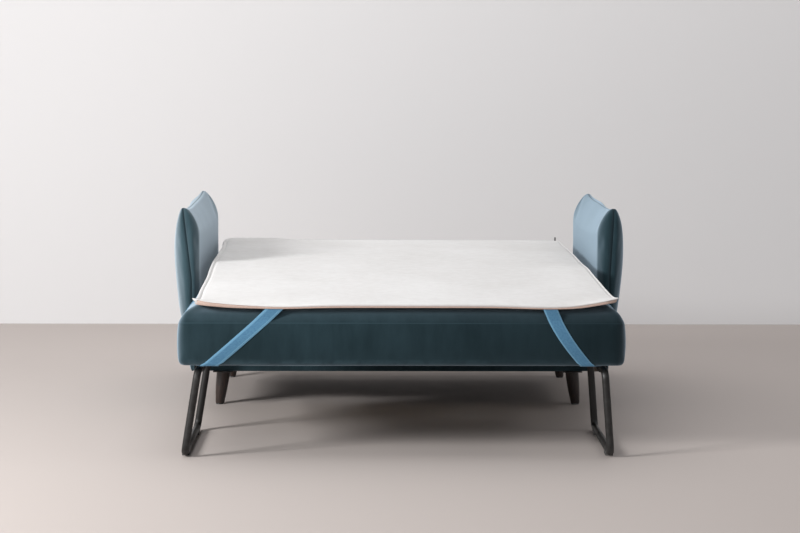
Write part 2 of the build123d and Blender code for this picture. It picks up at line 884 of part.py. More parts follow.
def sled_plane(side, splay):
    """Give the plane of a loop: its own X runs to the rear and its own Y runs up."""
    lean = radians(splay)
    up = Vector(-side * sin(lean), 0, cos(lean))
    across_loop = Vector(0, 1, 0).cross(up)
    return Plane(origin=(side * sled_hinge_x, 0, sled_hinge_z), x_dir=(0, 1, 0), z_dir=across_loop)


def sled_reach(splay):
    """Give the distance from the hinge line to the middle of the floor bar."""
    return (sled_hinge_z - sled_pad_thickness - sled_tube_radius) / cos(radians(splay))


def sled_leg(side, splay):
    """Build a closed tube loop with rounded corners."""
    front = sled_front_y + sled_tube_radius
    rear = sled_rear_y - sled_tube_radius
    reach = sled_reach(splay)
    corners = [(front, 0), (front, -reach), (rear, -reach), (rear, 0)]
    with BuildPart() as leg:
        with BuildLine(sled_plane(side, splay)) as path:
            FilletPolyline(*corners, radius=sled_bend_radius, close=True)
        start = path.line @ 0
        with BuildSketch(Plane(start, z_dir=path.line % 0)) as ring:
            Circle(sled_tube_radius)
        sweep(ring.sketch, path=path.line)
    return leg.part


for label, side in SIDES.items():
    save(sled_leg(side, SPLAYS[label]), f"sled_leg_{label}")


def sled_pads(side, splay):
    """Build the two flat pads that a loop's floor bar stands on."""
    middle_x = side * (sled_hinge_x + sled_reach(splay) * sin(radians(splay)))
    bar_z = sled_pad_thickness + sled_tube_radius
    places = inner_span((sled_front_y, sled_rear_y), sled_bend_radius + sled_pad_inset)
    with BuildPart() as pads:
        for place in places:
            slab(
                (middle_x - sled_tube_radius, middle_x + sled_tube_radius),
                (place - sled_pad_length / 2, place + sled_pad_length / 2),
                (0, bar_z),
            )
        start = Plane(origin=(middle_x, sled_front_y, bar_z), z_dir=(0, 1, 0))
        rod(start, sled_tube_radius + pin_gap, sled_rear_y - sled_front_y, Mode.SUBTRACT)
    return pads.part


def sled_clamps(side):
    """Build the two clamps that hold a loop's top bar and let it turn."""
    outer_radius = sled_tube_radius + clamp_wall
    foot_bottom_z = seat_bottom_z - clamp_foot_thickness
    places = inner_span((sled_front_y, sled_rear_y), clamp_inset)
    with BuildPart() as clamps:
        for place in places:
            start_y = place - clamp_length / 2
            start = Plane(origin=(side * sled_hinge_x, start_y, sled_hinge_z), z_dir=(0, 1, 0))
            rod(start, outer_radius, clamp_length)
            slab(
                sided(side, sled_hinge_x - outer_radius - clamp_foot_width, sled_hinge_x + outer_radius),
                (start_y, start_y + clamp_length),
                (foot_bottom_z, seat_bottom_z),
            )
            rod(start, sled_tube_radius + running_gap, clamp_length, Mode.SUBTRACT)
    return clamps.part


for label, side in SIDES.items():
    save(sled_pads(side, SPLAYS[label]), f"sled_pads_{label}")
    save(sled_clamps(side), f"sled_clamps_{label}")


# Topper: a thin quilted mattress that thickens towards the rear
topper_front_y = front_y + topper_front_inset
topper_rear_y = rear_y - topper_rear_inset
topper_middle_y = (topper_front_y + topper_rear_y) / 2
topper_bottom_z = seat_top_z + fit_gap
topper_low_x = topper_shift_x - topper_width / 2
topper_high_x = topper_shift_x + topper_width / 2

with BuildPart() as topper_pad:
    front_top_z = topper_bottom_z + topper_front_thickness
    rear_top_z = topper_bottom_z + topper_rear_thickness
    middle_top_z = topper_bottom_z + topper_middle_rise
    with BuildSketch(Plane.YZ) as profile:
        with BuildLine():
            Line((topper_front_y, topper_bottom_z), (topper_rear_y, topper_bottom_z))
            Line((topper_rear_y, topper_bottom_z), (topper_rear_y, rear_top_z))
            ThreePointArc(
                (topper_rear_y, rear_top_z),
                (topper_middle_y, middle_top_z),
                (topper_front_y, front_top_z),
            )
            Line((topper_front_y, front_top_z), (topper_front_y, topper_bottom_z))
        make_face()
        fillet(profile.vertices(), topper_edge_radius)
    extrude(amount=topper_width, both=True)
    corner_low_x = topper_low_x + topper_side_bulge
    corner_high_x = topper_high_x - topper_side_bulge
    with BuildSketch(Plane.XY.offset(topper_bottom_z - overrun)) as plan:
        with BuildLine():
            Line((corner_low_x, topper_front_y), (corner_high_x, topper_front_y))
            ThreePointArc(
                (corner_high_x, topper_front_y),
                (topper_high_x, topper_middle_y),
                (corner_high_x, topper_rear_y),
            )
            Line((corner_high_x, topper_rear_y), (corner_low_x, topper_rear_y))
            ThreePointArc(
                (corner_low_x, topper_rear_y),
                (topper_low_x, topper_middle_y),
                (corner_low_x, topper_front_y),
            )
        make_face()
        fillet(plan.vertices(), topper_corner_radius)
    extrude(amount=topper_rear_thickness + 2 * overrun, mode=Mode.INTERSECT)
save(topper_pad.part, "topper_pad")


def strap(side, top_x, foot_x):
    """Build a corner strap: slanted down the front, under the corner and up the side."""
    front_far_y = seat_front_y - strap_gap
    front_near_y = front_far_y - strap_thickness
    side_near_x = seat_half_width + strap_gap
    side_far_x = side_near_x + strap_thickness
    foot_z = seat_bottom_z - strap_gap
    side_front_y = seat_front_y + strap_side_front_inset
    side_rear_y = seat_front_y + strap_side_rear_inset
    top_z = topper_bottom_z - strap_gap / 2
    rise = top_z - foot_z
    half = strap_width / 2 * sqrt(1 + ((foot_x - top_x) / rise) ** 2)
    side_half = strap_width / 2 * sqrt(1 + ((side_rear_y - side_front_y) / rise) ** 2)
    with BuildPart() as band:
        with BuildSketch(Plane.XZ.offset(-front_far_y)):
            with BuildLine():
                Polyline(
                    (side * (top_x - half), top_z),
                    (side * (top_x + half), top_z),
                    (side * (foot_x + half), foot_z - strap_thickness),
                    (side * (foot_x - half), foot_z - strap_thickness),
                    close=True,
                )
            make_face()
        extrude(amount=strap_thickness)
        with BuildSketch(Plane.XY.offset(foot_z - strap_thickness)):
            with BuildLine():
                Polyline(
                    (side * (foot_x - half), front_near_y),
                    (side * (foot_x + half), front_near_y),
                    (side * side_far_x, side_front_y - side_half),
                    (side * side_far_x, side_front_y + side_half),
                    close=True,
                )
            make_face()
        extrude(amount=strap_thickness)
        with BuildSketch(Plane.YZ.offset(side * side_near_x)):
            with BuildLine():
                Polyline(
                    (side_front_y - side_half, foot_z - strap_thickness),
                    (side_front_y + side_half, foot_z - strap_thickness),
                    (side_rear_y + side_half, top_z),
                    (side_rear_y - side_half, top_z),
                    close=True,
                )
            make_face()
        extrude(amount=side * strap_thickness)
    return band.part


save(strap(LEFT, strap_top_x_left, strap_foot_x_left), "strap_left")
save(strap(RIGHT, strap_top_x_right, strap_foot_x_right), "strap_right")

zip_z = topper_bottom_z + topper_rear_thickness - zip_drop
zip_slider_x = topper_high_x - zip_slider_inset
zip_tape_far_y = topper_rear_y + zip_tape_thickness
with BuildPart() as zip_tape:
    slab(
        (topper_low_x + zip_end_inset, topper_high_x - zip_end_inset),
        (topper_rear_y, zip_tape_far_y),
        (zip_z - zip_tape_width / 2, zip_z + zip_tape_width / 2),
    )
save(zip_tape.part, "zip_tape")

slider_near_y = zip_tape_far_y + fit_gap
slider_far_y = slider_near_y + zip_slider_thickness
with BuildPart() as zip_slider:
    slab(
        (zip_slider_x - zip_slider_length / 2, zip_slider_x + zip_slider_length / 2),
        (slider_near_y, slider_far_y),
        (zip_z - zip_slider_width / 2, zip_z + zip_slider_width / 2),
    )
    fillet(zip_slider.edges().filter_by(Axis.Y), zip_slider_width / 4)
save(zip_slider.part, "zip_slider")

pull_near_y = slider_far_y + fit_gap
with BuildPart() as zip_pull:
    slab(
        (zip_slider_x - zip_pull_width / 2, zip_slider_x + zip_pull_width / 2),
        (pull_near_y, pull_near_y + zip_pull_thickness),
        (zip_z - zip_pull_width / 2, zip_z - zip_pull_width / 2 + zip_pull_length),
    )
    fillet(zip_pull.edges().filter_by(Axis.Y), zip_pull_width / 3)
save(zip_pull.part, "zip_pull")
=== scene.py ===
"""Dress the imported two-seat sofa bed in velvet, knitted cloth, elastic, tube and wood.

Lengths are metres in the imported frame: +X is right, +Y is the rear, +Z is up and the floor is zero.
"""

import json
import logging
import math
from collections.abc import Callable, Sequence
from dataclasses import dataclass
from enum import Enum

import bmesh
import bpy
import numpy as np
from mathutils import Matrix, Vector, noise
from mathutils.bvhtree import BVHTree

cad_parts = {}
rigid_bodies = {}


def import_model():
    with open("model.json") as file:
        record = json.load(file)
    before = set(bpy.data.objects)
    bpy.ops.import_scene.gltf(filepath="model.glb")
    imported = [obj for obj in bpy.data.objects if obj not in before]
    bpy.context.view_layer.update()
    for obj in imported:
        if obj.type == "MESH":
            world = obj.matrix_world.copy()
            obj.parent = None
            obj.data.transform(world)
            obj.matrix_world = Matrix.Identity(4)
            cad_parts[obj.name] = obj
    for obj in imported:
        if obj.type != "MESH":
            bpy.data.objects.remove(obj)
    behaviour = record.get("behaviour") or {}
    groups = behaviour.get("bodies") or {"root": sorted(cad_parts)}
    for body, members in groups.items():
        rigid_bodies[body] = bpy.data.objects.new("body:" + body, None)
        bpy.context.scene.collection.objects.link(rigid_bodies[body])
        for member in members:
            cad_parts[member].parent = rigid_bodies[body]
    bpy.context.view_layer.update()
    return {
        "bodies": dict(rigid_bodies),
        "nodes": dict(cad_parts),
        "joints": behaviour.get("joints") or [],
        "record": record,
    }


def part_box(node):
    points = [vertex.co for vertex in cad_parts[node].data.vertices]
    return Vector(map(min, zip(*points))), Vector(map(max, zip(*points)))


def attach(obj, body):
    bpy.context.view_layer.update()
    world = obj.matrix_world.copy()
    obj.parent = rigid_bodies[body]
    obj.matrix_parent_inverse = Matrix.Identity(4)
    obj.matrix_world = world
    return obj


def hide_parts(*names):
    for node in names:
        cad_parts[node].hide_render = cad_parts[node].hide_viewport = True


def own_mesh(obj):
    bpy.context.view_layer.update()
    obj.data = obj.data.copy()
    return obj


LOG = logging.getLogger("sofa_bed")
BOX_EDGE = 0.044
Colour = tuple[float, float, float]
Point = tuple[float, float, float]
Table = tuple[tuple[float, float], ...]
Faces = list[tuple[int, ...]]
Piece = bpy.types.Object
Node = bpy.types.Node
Socket = bpy.types.NodeSocket
Feed = float | Sequence[float] | bpy.types.NodeSocket


class Side(Enum):
    """The left or right of the bed, seen from its front."""

    LEFT = -1
    RIGHT = 1

    @property
    def label(self) -> str:
        """Give the word that ends this side's node names."""
        return self.name.lower()


class Body(Enum):
    """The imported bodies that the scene's own pieces ride on."""

    BASE = "base"
    REAR_PANEL = "rear_panel"
    BACK_PANEL = "back_panel"
    SEAT = "seat"
    TOPPER = "topper"


# Number helpers


def ease(low: float, high: float, value: float) -> float:
    """Rise smoothly from 0 to 1 as a value goes between two limits.

    Args:
        low: Where the rise starts.
        high: Where the rise ends.
        value: The place to look up.

    Returns:
        The share of the rise, from 0 to 1.
    """
    share = min(1.0, max(0.0, (value - low) / (high - low)))
    return share * share * (3 - 2 * share)


def near(gap: float, reach: float) -> float:
    """Fall evenly from 1 at no gap to 0 at a reach."""
    return max(0.0, 1 - gap / reach)


def bump(centre: float, width: float, value: float) -> float:
    """Give a bell curve of height 1 about a centre."""
    return math.exp(-(((value - centre) / width) ** 2))


def wave(run: float, pitch: float) -> float:
    """Give a sine wave of a pitch."""
    return math.sin(2 * math.pi * run / pitch)


def ripple(place: Sequence[float], pitch: float, seed: float) -> float:
    """Give smooth noise, between about -1 and 1, whose crests are about a pitch apart."""
    return noise.noise(Vector(place) / pitch + Vector((seed, -seed, seed / 2)))


def looked_up(table: Table, value: float) -> float:
    """Read a table of places and numbers, evenly between its rows."""
    return float(np.interp(value, *zip(*table)))


def spaced(low: float, high: float, count: int, crowd: float) -> list[float]:
    """Space places between two limits, closer together near both of them.

    Args:
        low: The first place.
        high: The last place.
        count: How many gaps lie between them.
        crowd: 0 for even gaps, towards 1 for gaps that shrink at the ends.

    Returns:
        The places in rising order.
    """
    shares = [index / count for index in range(count + 1)]
    curved = [(1 - crowd) * s + crowd * (1 - math.cos(math.pi * s)) / 2 for s in shares]
    return [low + (high - low) * s for s in curved]


# Mesh helpers


def grid_faces(rows: int, columns: int, first: int = 0) -> Faces:
    """List the quads of an open grid whose points are stored row by row.

    Args:
        rows: Points from row to row.
        columns: Points in a row.
        first: The number of the first point.

    Returns:
        One tuple of four point numbers for each quad.
    """
    return [
        (start, start + 1, start + columns + 1, start + columns)
        for row in range(rows - 1)
        for start in range(first + row * columns, first + (row + 1) * columns - 1)
    ]


def rim_places(rows: int, columns: int) -> list[tuple[int, int]]:
    """List the row and column of each point round a grid's rim.

    Args:
        rows: Points from row to row.
        columns: Points in a row.

    Returns:
        The places in order, starting along the first row.
    """
    return (
        [(0, column) for column in range(columns)]
        + [(row, columns - 1) for row in range(1, rows)]
        + [(rows - 1, column) for column in range(columns - 2, -1, -1)]
        + [(row, 0) for row in range(rows - 2, 0, -1)]
    )


def ring_faces(rings: Sequence[Sequence[int]]) -> Faces:
    """List the quads between closed rings of equally many points.

    Args:
        rings: The point numbers of each ring.

    Returns:
        One tuple of four point numbers for each quad.
    """
    return [
        (upper[index], upper[following], lower[following], lower[index])
        for upper, lower in zip(rings, rings[1:])
        for index, following in enumerate([*range(1, len(upper)), 0])
    ]


def build_mesh(name: str, points: Sequence[Point], faces: Faces) -> Piece:
    """Make a smooth mesh object with outward faces and put it in the scene.

    Args:
        name: The piece's name.
        points: The vertices.
        faces: The faces as tuples of vertex numbers.

    Returns:
        The new object.
    """
    mesh = bpy.data.meshes.new(name)
    mesh.from_pydata(points, [], faces)
    shape = bmesh.new()
    shape.from_mesh(mesh)
    bmesh.ops.remove_doubles(shape, verts=shape.verts, dist=1e-6)
    bmesh.ops.dissolve_degenerate(shape, edges=shape.edges, dist=1e-7)
    bmesh.ops.recalc_face_normals(shape, faces=shape.faces)
    for face in shape.faces:
        face.smooth = True
    shape.to_mesh(mesh)
    shape.free()
    piece = bpy.data.objects.new(name, mesh)
    bpy.context.scene.collection.objects.link(piece)
    return piece


def refine(piece: Piece) -> None:
    """Add one level of subdivision surface to a piece."""
    smooth = piece.modifiers.new("smooth", "SUBSURF")
    smooth.levels = smooth.render_levels = 1


def join(pieces: Sequence[Piece], name: str) -> Piece:
    """Join several meshes, with their maps, into the first one.

    Args:
        pieces: The meshes.
        name: The name of the result.

    Returns:
        The joined piece.
    """
    first = pieces[0]
    with bpy.context.temp_override(active_object=first, selected_editable_objects=list(pieces)):
        bpy.ops.object.join()
    first.name = first.data.name = name
    return first


@dataclass(frozen=True)
class Rung:
    """One crosswise line of a band: its middle, half of its width and the way it faces."""

    place: Vector
    across: Vector
    outward: Vector


def ribbon(
    name: str,
    rungs: Sequence[Rung],
    thickness: float,
    ground: BVHTree | None = None,
    clearance: float = 0.0,
) -> Piece:
    """Build a flat band with softened edges over a list of rungs, mapped in metres.

    Args:
        name: The piece's name.
        rungs: The crosswise lines of the band.
        thickness: The band's thickness.
        ground: A surface that the band stays outside of.
        clearance: The least distance to that surface.

    Returns:
        The band.
    """
    shares, full, edge = (-1.0, -0.97, -0.6, -0.2, 0.2, 0.6, 0.97, 1.0), 0.5, 0.15
    loop = [(share, full if abs(share) < 1 else edge) for share in shares]
    loop += [(share, -level) for share, level in reversed(loop)]
    travelled = [0.0]
    for rung, following in zip(rungs, rungs[1:]):
        travelled.append(travelled[-1] + (following.place - rung.place).length)
    points: list[Point] = []
    for rung in rungs:
        outward = rung.outward.normalized()
        for share, level in loop:
            place = rung.place + rung.across * share + outward * (level * thickness)
            least = clearance + (level + full) * thickness
            points.append(tuple(pushed_out(place, outward, least, ground)))
    count = len(loop)
    rings = [range(start, start + count) for start in range(0, len(points), count)]
    faces = ring_faces(rings) + [tuple(rings[0]), tuple(reversed(rings[-1]))]
    band = build_mesh(name, points, faces)
    layer = band.data.uv_layers.new(name="run")
    for corner in band.data.loops:
        row, column = divmod(corner.vertex_index, count)
        layer.data[corner.index].uv = (travelled[row], loop[column][0] * rungs[row].across.length)
    return band


def pushed_out(place: Vector, outward: Vector, least: float, ground: BVHTree | None) -> Vector:
    """Keep a point at least a distance outside a surface.

    Args:
        place: The point.
        outward: The way it may move.
        least: The least distance.
        ground: The surface, if any.

    Returns:
        The point, moved where it needs to be.
    """
    if ground is None:
        return place
    start, reach = 0.02, 0.03
    hit = ground.ray_cast(place + outward * start, -outward, reach)[0]
    if hit is None:
        return place
    return place + outward * max(0.0, least - (place - hit).dot(outward))


# Materials: wiring helpers and shared node groups


class Wiring:
    """Adds the nodes of one tree and joins them."""

    def __init__(self, tree: bpy.types.NodeTree) -> None:
        """Keep the tree that nodes are added to."""
        self.tree = tree

    def add(self, kind: str, **settings: object) -> Node:
        """Add a node and set its own options.

        Args:
            kind: The node's type.
            **settings: The options by their names.

        Returns:
            The new node.
        """
        node = self.tree.nodes.new(kind)
        for name, value in settings.items():
            setattr(node, name, value)
        return node

    def plug(self, socket: Socket, value: Feed) -> None:
        """Link an output to a socket, or set the socket's own value.

        Args:
            socket: The input socket.
            value: An output, a number or a vector.
        """
        if isinstance(value, Socket):
            self.tree.links.new(value, socket)
        else:
            socket.default_value = value

    def feed(self, node: Node, *numbered: Feed, **named: Feed) -> Node:
        """Feed a node's inputs by their order or their names.

        Args:
            node: The node whose inputs are fed.
            *numbered: What goes into the first inputs.
            **named: What goes into inputs by name, with underscores for spaces.

        Returns:
            The same node.
        """
        for index, value in enumerate(numbered):
            self.plug(node.inputs[index], value)
        for name, value in named.items():
            self.plug(node.inputs[name.replace("_", " ")], value)
        return node

    def maths(self, operation: str, *values: Feed) -> Socket:
        """Add a maths node and give its result."""
        return self.feed(self.add("ShaderNodeMath", operation=operation), *values).outputs[0]

    def plus(self, first: Feed, second: Feed) -> Socket:
        """Add two values."""
        return self.maths("ADD", first, second)

    def times(self, first: Feed, second: Feed) -> Socket:
        """Multiply two values."""
        return self.maths("MULTIPLY", first, second)

    def spread(
        self, value: Feed, low: float, high: float, start: float = 0.0, end: float = 1.0
    ) -> Socket:
        """Map a value's range to another range and clamp it.

        Args:
            value: The value or output to map.
            low: The value that becomes start.
            high: The value that becomes end.
            start: The lowest result.
            end: The highest result.

        Returns:
            The mapped output.
        """
        return self.feed(self.add("ShaderNodeMapRange"), value, low, high, start, end).outputs[0]

    def blend(self, mask: Feed, first: Feed, second: Feed) -> Socket:
        """Mix two colours by a mask.

        Args:
            mask: The share of the second colour.
            first: The first colour or output.
            second: The second colour or output.

        Returns:
            The mixed colour.
        """
        node = self.add("ShaderNodeMix", data_type="RGBA")
        self.plug(node.inputs[0], mask)
        for socket, value in zip(node.inputs[6:8], (first, second)):
            self.plug(socket, (*value, 1.0) if isinstance(value, tuple) else value)
        return node.outputs[2]

    def axes(self, place: Feed) -> list[Socket]:
        """Split a place into its three axes."""
        return list(self.feed(self.add("ShaderNodeSeparateXYZ"), place).outputs)

    def stretched(self, place: Feed, scale: Feed) -> Socket:
        """Multiply a place by a scale on each axis."""
        node = self.add("ShaderNodeVectorMath", operation="MULTIPLY")
        return self.feed(node, place, scale).outputs[0]

    def speckle(
        self, place: Feed, scale: Feed, detail: float = 3.0, roughness: float = 0.55
    ) -> Socket:
        """Add a noise texture and give its value.

        Args:
            place: Where to look the noise up.
            scale: Features per metre.
            detail: The number of finer octaves.
            roughness: How strong the finer octaves are.

        Returns:
            The noise value.
        """
        node = self.add("ShaderNodeTexNoise")
        self.feed(node, Vector=place, Scale=scale, Detail=detail, Roughness=roughness)
        return node.outputs[0]


class SharedGroups:
    """The node groups that several finishes use, each built once."""

    def __init__(self) -> None:
        """Build every group."""
        self.nap = self.build_nap()
        self.weave = self.build_weave()
        self.grain = self.build_grain()
        self.wear = self.build_wear()

    def open_group(
        self, name: str, settings: dict[str, float | Point], results: Sequence[str]
    ) -> tuple[Wiring, bpy.types.NodeOutputs, bpy.types.NodeInputs]:
        """Start a group that takes a place and some settings and gives plain numbers.

        Args:
            name: The group's name.
            settings: Its other inputs and their defaults, numbers or vectors.
            results: The names of its outputs.

        Returns:
            The wiring of its tree, what it is given and what it has to fill.
        """
        tree = bpy.data.node_groups.new(name, "ShaderNodeTree")
        for title, value in {"Place": (0.0, 0.0, 0.0), **settings}.items():
            kind = "NodeSocketVector" if isinstance(value, tuple) else "NodeSocketFloat"
            socket = tree.interface.new_socket(name=title, in_out="INPUT", socket_type=kind)
            socket.default_value = value
        for title in results:
            tree.interface.new_socket(name=title, in_out="OUTPUT", socket_type="NodeSocketFloat")
        wiring = Wiring(tree)
        return wiring, wiring.add("NodeGroupInput").outputs, wiring.add("NodeGroupOutput").inputs

    def build_nap(self) -> bpy.types.NodeTree:
        """Build the brushed nap of a pile cloth: broad patches, upright strokes and fine fuzz.

        Returns:
            The group's tree.
        """
        settings = {"Patch": 5.0, "Fuzz": 900.0}
        wiring, given, made = self.open_group("cloth nap", settings, ("Brushed", "Height"))
        patches = wiring.speckle(given["Place"], given["Patch"], detail=2.0)
        upright = wiring.stretched(given["Place"], (9.0, 9.0, 2.2))
        strokes = wiring.speckle(upright, 3.5, detail=4.0, roughness=0.6)
        fuzz = wiring.speckle(given["Place"], given["Fuzz"], detail=2.0, roughness=0.7)
        brushed = wiring.plus(wiring.times(patches, 0.55), wiring.times(strokes, 0.45))
        height = wiring.plus(wiring.times(fuzz, 0.6), wiring.times(strokes, 0.4))
        wiring.plug(made["Brushed"], wiring.spread(brushed, 0.36, 0.64))
        wiring.plug(made["Height"], height)
        return wiring.tree

    def build_weave(self) -> bpy.types.NodeTree:
        """Build crossed threads that pass over and under each other.

        Returns:
            The group's tree.
        """
        settings = {"Along": 900.0, "Across": 900.0}
        wiring, given, made = self.open_group("thread weave", settings, ("Thread", "Height"))
        x, y, _ = wiring.axes(given["Place"])
        along = wiring.maths("SINE", wiring.times(x, given["Along"]))
        across = wiring.maths("SINE", wiring.times(y, given["Across"]))
        switch = wiring.spread(wiring.times(along, across), -0.15, 0.15)
        height = wiring.add("ShaderNodeMix")
        wiring.plug(height.inputs[0], switch)
        wiring.plug(height.inputs[2], wiring.maths("ABSOLUTE", along))
        wiring.plug(height.inputs[3], wiring.maths("ABSOLUTE", across))
        uneven = wiring.speckle(given["Place"], 160.0)
        wiring.plug(made["Thread"], wiring.spread(uneven, 0.3, 0.7))
        wiring.plug(made["Height"], height.outputs[0])
        return wiring.tree

    def build_grain(self) -> bpy.types.NodeTree:
        """Build wood grain that runs along the least of three stretches.

        Returns:
            The group's tree.
        """
        settings = {"Stretch": (60.0, 60.0, 4.0), "Rings": 3.0}
        wiring, given, made = self.open_group("wood grain", settings, ("Figure", "Pores"))
        drawn = wiring.stretched(given["Place"], given["Stretch"])
        bent = wiring.speckle(drawn, 1.0, detail=4.0, roughness=0.6)
        rings = wiring.maths("SINE", wiring.times(bent, wiring.times(given["Rings"], 9.0)))
        figure = wiring.plus(wiring.times(rings, 0.25), bent)
        fine = wiring.speckle(drawn, 9.0, roughness=0.7)
        wiring.plug(made["Figure"], wiring.spread(figure, 0.25, 0.8))
        wiring.plug(made["Pores"], wiring.spread(fine, 0.35, 0.6))
        return wiring.tree

    def build_wear(self) -> bpy.types.NodeTree:
        """Build scuffs on convex edges and faint handling marks.

        Returns:
            The group's tree.
        """
        settings = {"Amount": 0.5, "Scale": 40.0}
        wiring, given, made = self.open_group("edge wear", settings, ("Scuffed", "Marks"))
        pointed = wiring.add("ShaderNodeNewGeometry").outputs["Pointiness"]
        convex = wiring.spread(pointed, 0.51, 0.56)
        uneven = wiring.speckle(given["Place"], given["Scale"], detail=4.0)
        scuffed = wiring.times(convex, wiring.spread(uneven, 0.45, 0.62))
        touched = wiring.speckle(given["Place"], 14.0, detail=5.0, roughness=0.65)
        wiring.plug(made["Scuffed"], wiring.times(scuffed, given["Amount"]))
        wiring.plug(made["Marks"], wiring.spread(touched, 0.4, 0.65))
        return wiring.tree


class Paint:
    """One material while it is made: its nodes, its main shader and the place on the surface."""

    def __init__(self, name: str, shown: Colour, groups: SharedGroups) -> None:
        """Make the material.

        Args:
            name: Its name.
            shown: The colour that it has in a plain viewport.
            groups: The shared node groups.
        """
        self.material = bpy.data.materials.new(name)
        self.material.use_nodes = True
        self.material.diffuse_color = (*shown, 1.0)
        self.groups = groups
        self.wiring = Wiring(self.material.node_tree)
        self.shader = self.material.node_tree.nodes["Principled BSDF"]
        self.place = self.wiring.add("ShaderNodeTexCoord").outputs["Object"]

    def use(self, tree: bpy.types.NodeTree, **inputs: Feed) -> bpy.types.NodeOutputs:
        """Place a shared group, feed it and give its outputs."""
        node = self.wiring.add("ShaderNodeGroup", node_tree=tree)
        return self.wiring.feed(node, **{"Place": self.place, **inputs}).outputs

    def coat(self, **inputs: Feed) -> None:
        """Feed the main shader's inputs by name."""
        self.wiring.feed(self.shader, **inputs)

    def emboss(self, height: Feed, depth: float, strength: float) -> None:
        """Raise the surface by a height map.

        Args:
            height: The height output.
            depth: The relief's depth in metres.
            strength: The share of the relief that shows.
        """
        relief = self.wiring.add("ShaderNodeBump")
        self.wiring.feed(relief, Strength=strength, Distance=depth, Height=height)
        self.coat(Normal=relief.outputs[0])


# Finishes


@dataclass(frozen=True)
class Finish:
    """What every finish has: its key, its two tones and its gloss."""

    key: str
    deep: Colour
    pale: Colour
    roughness: float = 0.85

    def dress(self, groups: SharedGroups) -> bpy.types.Material:
        """Build the material.

        Args:
            groups: The shared node groups.

        Returns:
            The new material.
        """
        job = Paint(self.key.replace("_", " "), self.pale, groups)
        job.coat(Roughness=self.roughness)
        self.paint(job)
        return job.material

    def paint(self, job: Paint) -> None:
        """Give the material its colour and relief, which each kind of finish does its own way."""
        raise NotImplementedError


@dataclass(frozen=True)
class SeamLine:
    """Where an arm's seam runs, down its front end and back along its ridge."""

    top_x: float
    foot_x: float
    rear_x: float = 0.812
    peak_z: float = 0.768
    foot_z: float = 0.498
    start_y: float = 0.10
    end_y: float = 0.56
    front_y: float = -0.047
    rear_y: float = 0.928


@dataclass(frozen=True)
class Velvet(Finish):
    """Cut-pile cloth whose base colour turns towards a pale rim colour at grazing angles, a painted
    sheen on top of the shader's own sheen.
    """

    brush: float = 0.6
    # The pale colour of the painted sheen, also the shader's sheen tint, and how sharply the painted
    # sheen rises towards grazing angles.
    rim: Colour = (0.40, 0.52, 0.62)
    rim_power: float = 1.6
    facing: float = 0.35
    sheen: float = 0.5
    sheen_roughness: float = 0.32

    def paint(self, job: Paint) -> None:
        """Lay the pile.

        Args:
            job: The material that is made.
        """
        wiring = job.wiring
        nap = job.use(job.groups.nap, Patch=4.0, Fuzz=1400.0)
        # Painted sheen: the base colour turns towards the rim colour where the surface is seen at a
        # grazing angle.
        turned = wiring.feed(wiring.add("ShaderNodeLayerWeight"), Blend=self.facing)
        grazing = wiring.maths("POWER", turned.outputs["Facing"], self.rim_power)
        colour = wiring.blend(grazing, self.pile(job, nap["Brushed"]), self.rim)
        job.coat(Base_Color=self.sewn(job, colour), Specular_IOR_Level=0.12)
        job.coat(Sheen_Weight=self.sheen, Sheen_Roughness=self.sheen_roughness)
        job.coat(Sheen_Tint=(*self.rim, 1.0))
        job.emboss(nap["Height"], 0.0009, 0.45)

    def pile(self, job: Paint, brushed: Socket) -> Socket:
        """Give the colour that the pile has when looked at straight on."""
        return job.wiring.blend(job.wiring.times(brushed, self.brush), self.deep, self.pale)

    def sewn(self, job: Paint, colour: Socket) -> Socket:
        """Give the colour with any painted shade along a seam in it: here there is none."""
        return colour


@dataclass(frozen=True)
class BoxVelvet(Velvet):
    """Velvet of the seat box: a patchy paler band at its foot, a painted highlight along its welt,
    painted light on its top above the welt and painted shade towards the right.
    """

    # Where the patchy paler band along the foot ends, and how tall it is.
    rubbed_z: float = 0.338
    rubbed_height: float = 0.022
    welt_z: float = 0.4548
    welt_half: float = 0.0016
    # How strong the painted highlight along the welt is.
    welt_gain: float = 1.9
    # How strong the painted light on the top above the welt is, and over what height it fades in.
    top_gain: float = 0.42
    top_rise: float = 0.02
    # Painted shade towards the right: its colour, where it runs across the box and how strong it
    # gets.
    shade: Colour = (0.004, 0.010, 0.013)
    shade_run: tuple[float, float] = (-0.2, 0.75)
    shade_share: float = 0.6

    def pile(self, job: Paint, brushed: Socket) -> Socket:
        """Give the colour of the pile, with its paler foot, the painted highlight on the welt, the
        painted light on the top and the painted shade to the right.

        Args:
            job: The material that is made.
            brushed: How far the nap is brushed.

        Returns:
            The colour.
        """
        wiring = job.wiring
        x, _, z = wiring.axes(job.place)
        # A patchy paler band along the foot.
        low = wiring.spread(z, self.rubbed_z - self.rubbed_height, self.rubbed_z, 1.0, 0.0)
        patches = wiring.spread(wiring.speckle(job.place, 19.0), 0.42, 0.62, 0.15, 1.5)
        # Painted highlight: a thin paler line along the raised welt.
        welt = wiring.maths("COMPARE", z, self.welt_z, self.welt_half)
        # Painted light: the top above the welt turns paler.
        top = wiring.spread(z, self.welt_z, self.welt_z + self.top_rise, 0.0, self.top_gain)
        mask = wiring.times(brushed, self.brush)
        for part in (wiring.times(low, patches), wiring.times(welt, self.welt_gain), top):
            mask = wiring.plus(mask, part)
        # Painted shade: the colour darkens towards the right, away from the light.
        shaded = wiring.spread(x, *self.shade_run, 0.0, self.shade_share)
        return wiring.blend(shaded, wiring.blend(mask, self.deep, self.pale), self.shade)


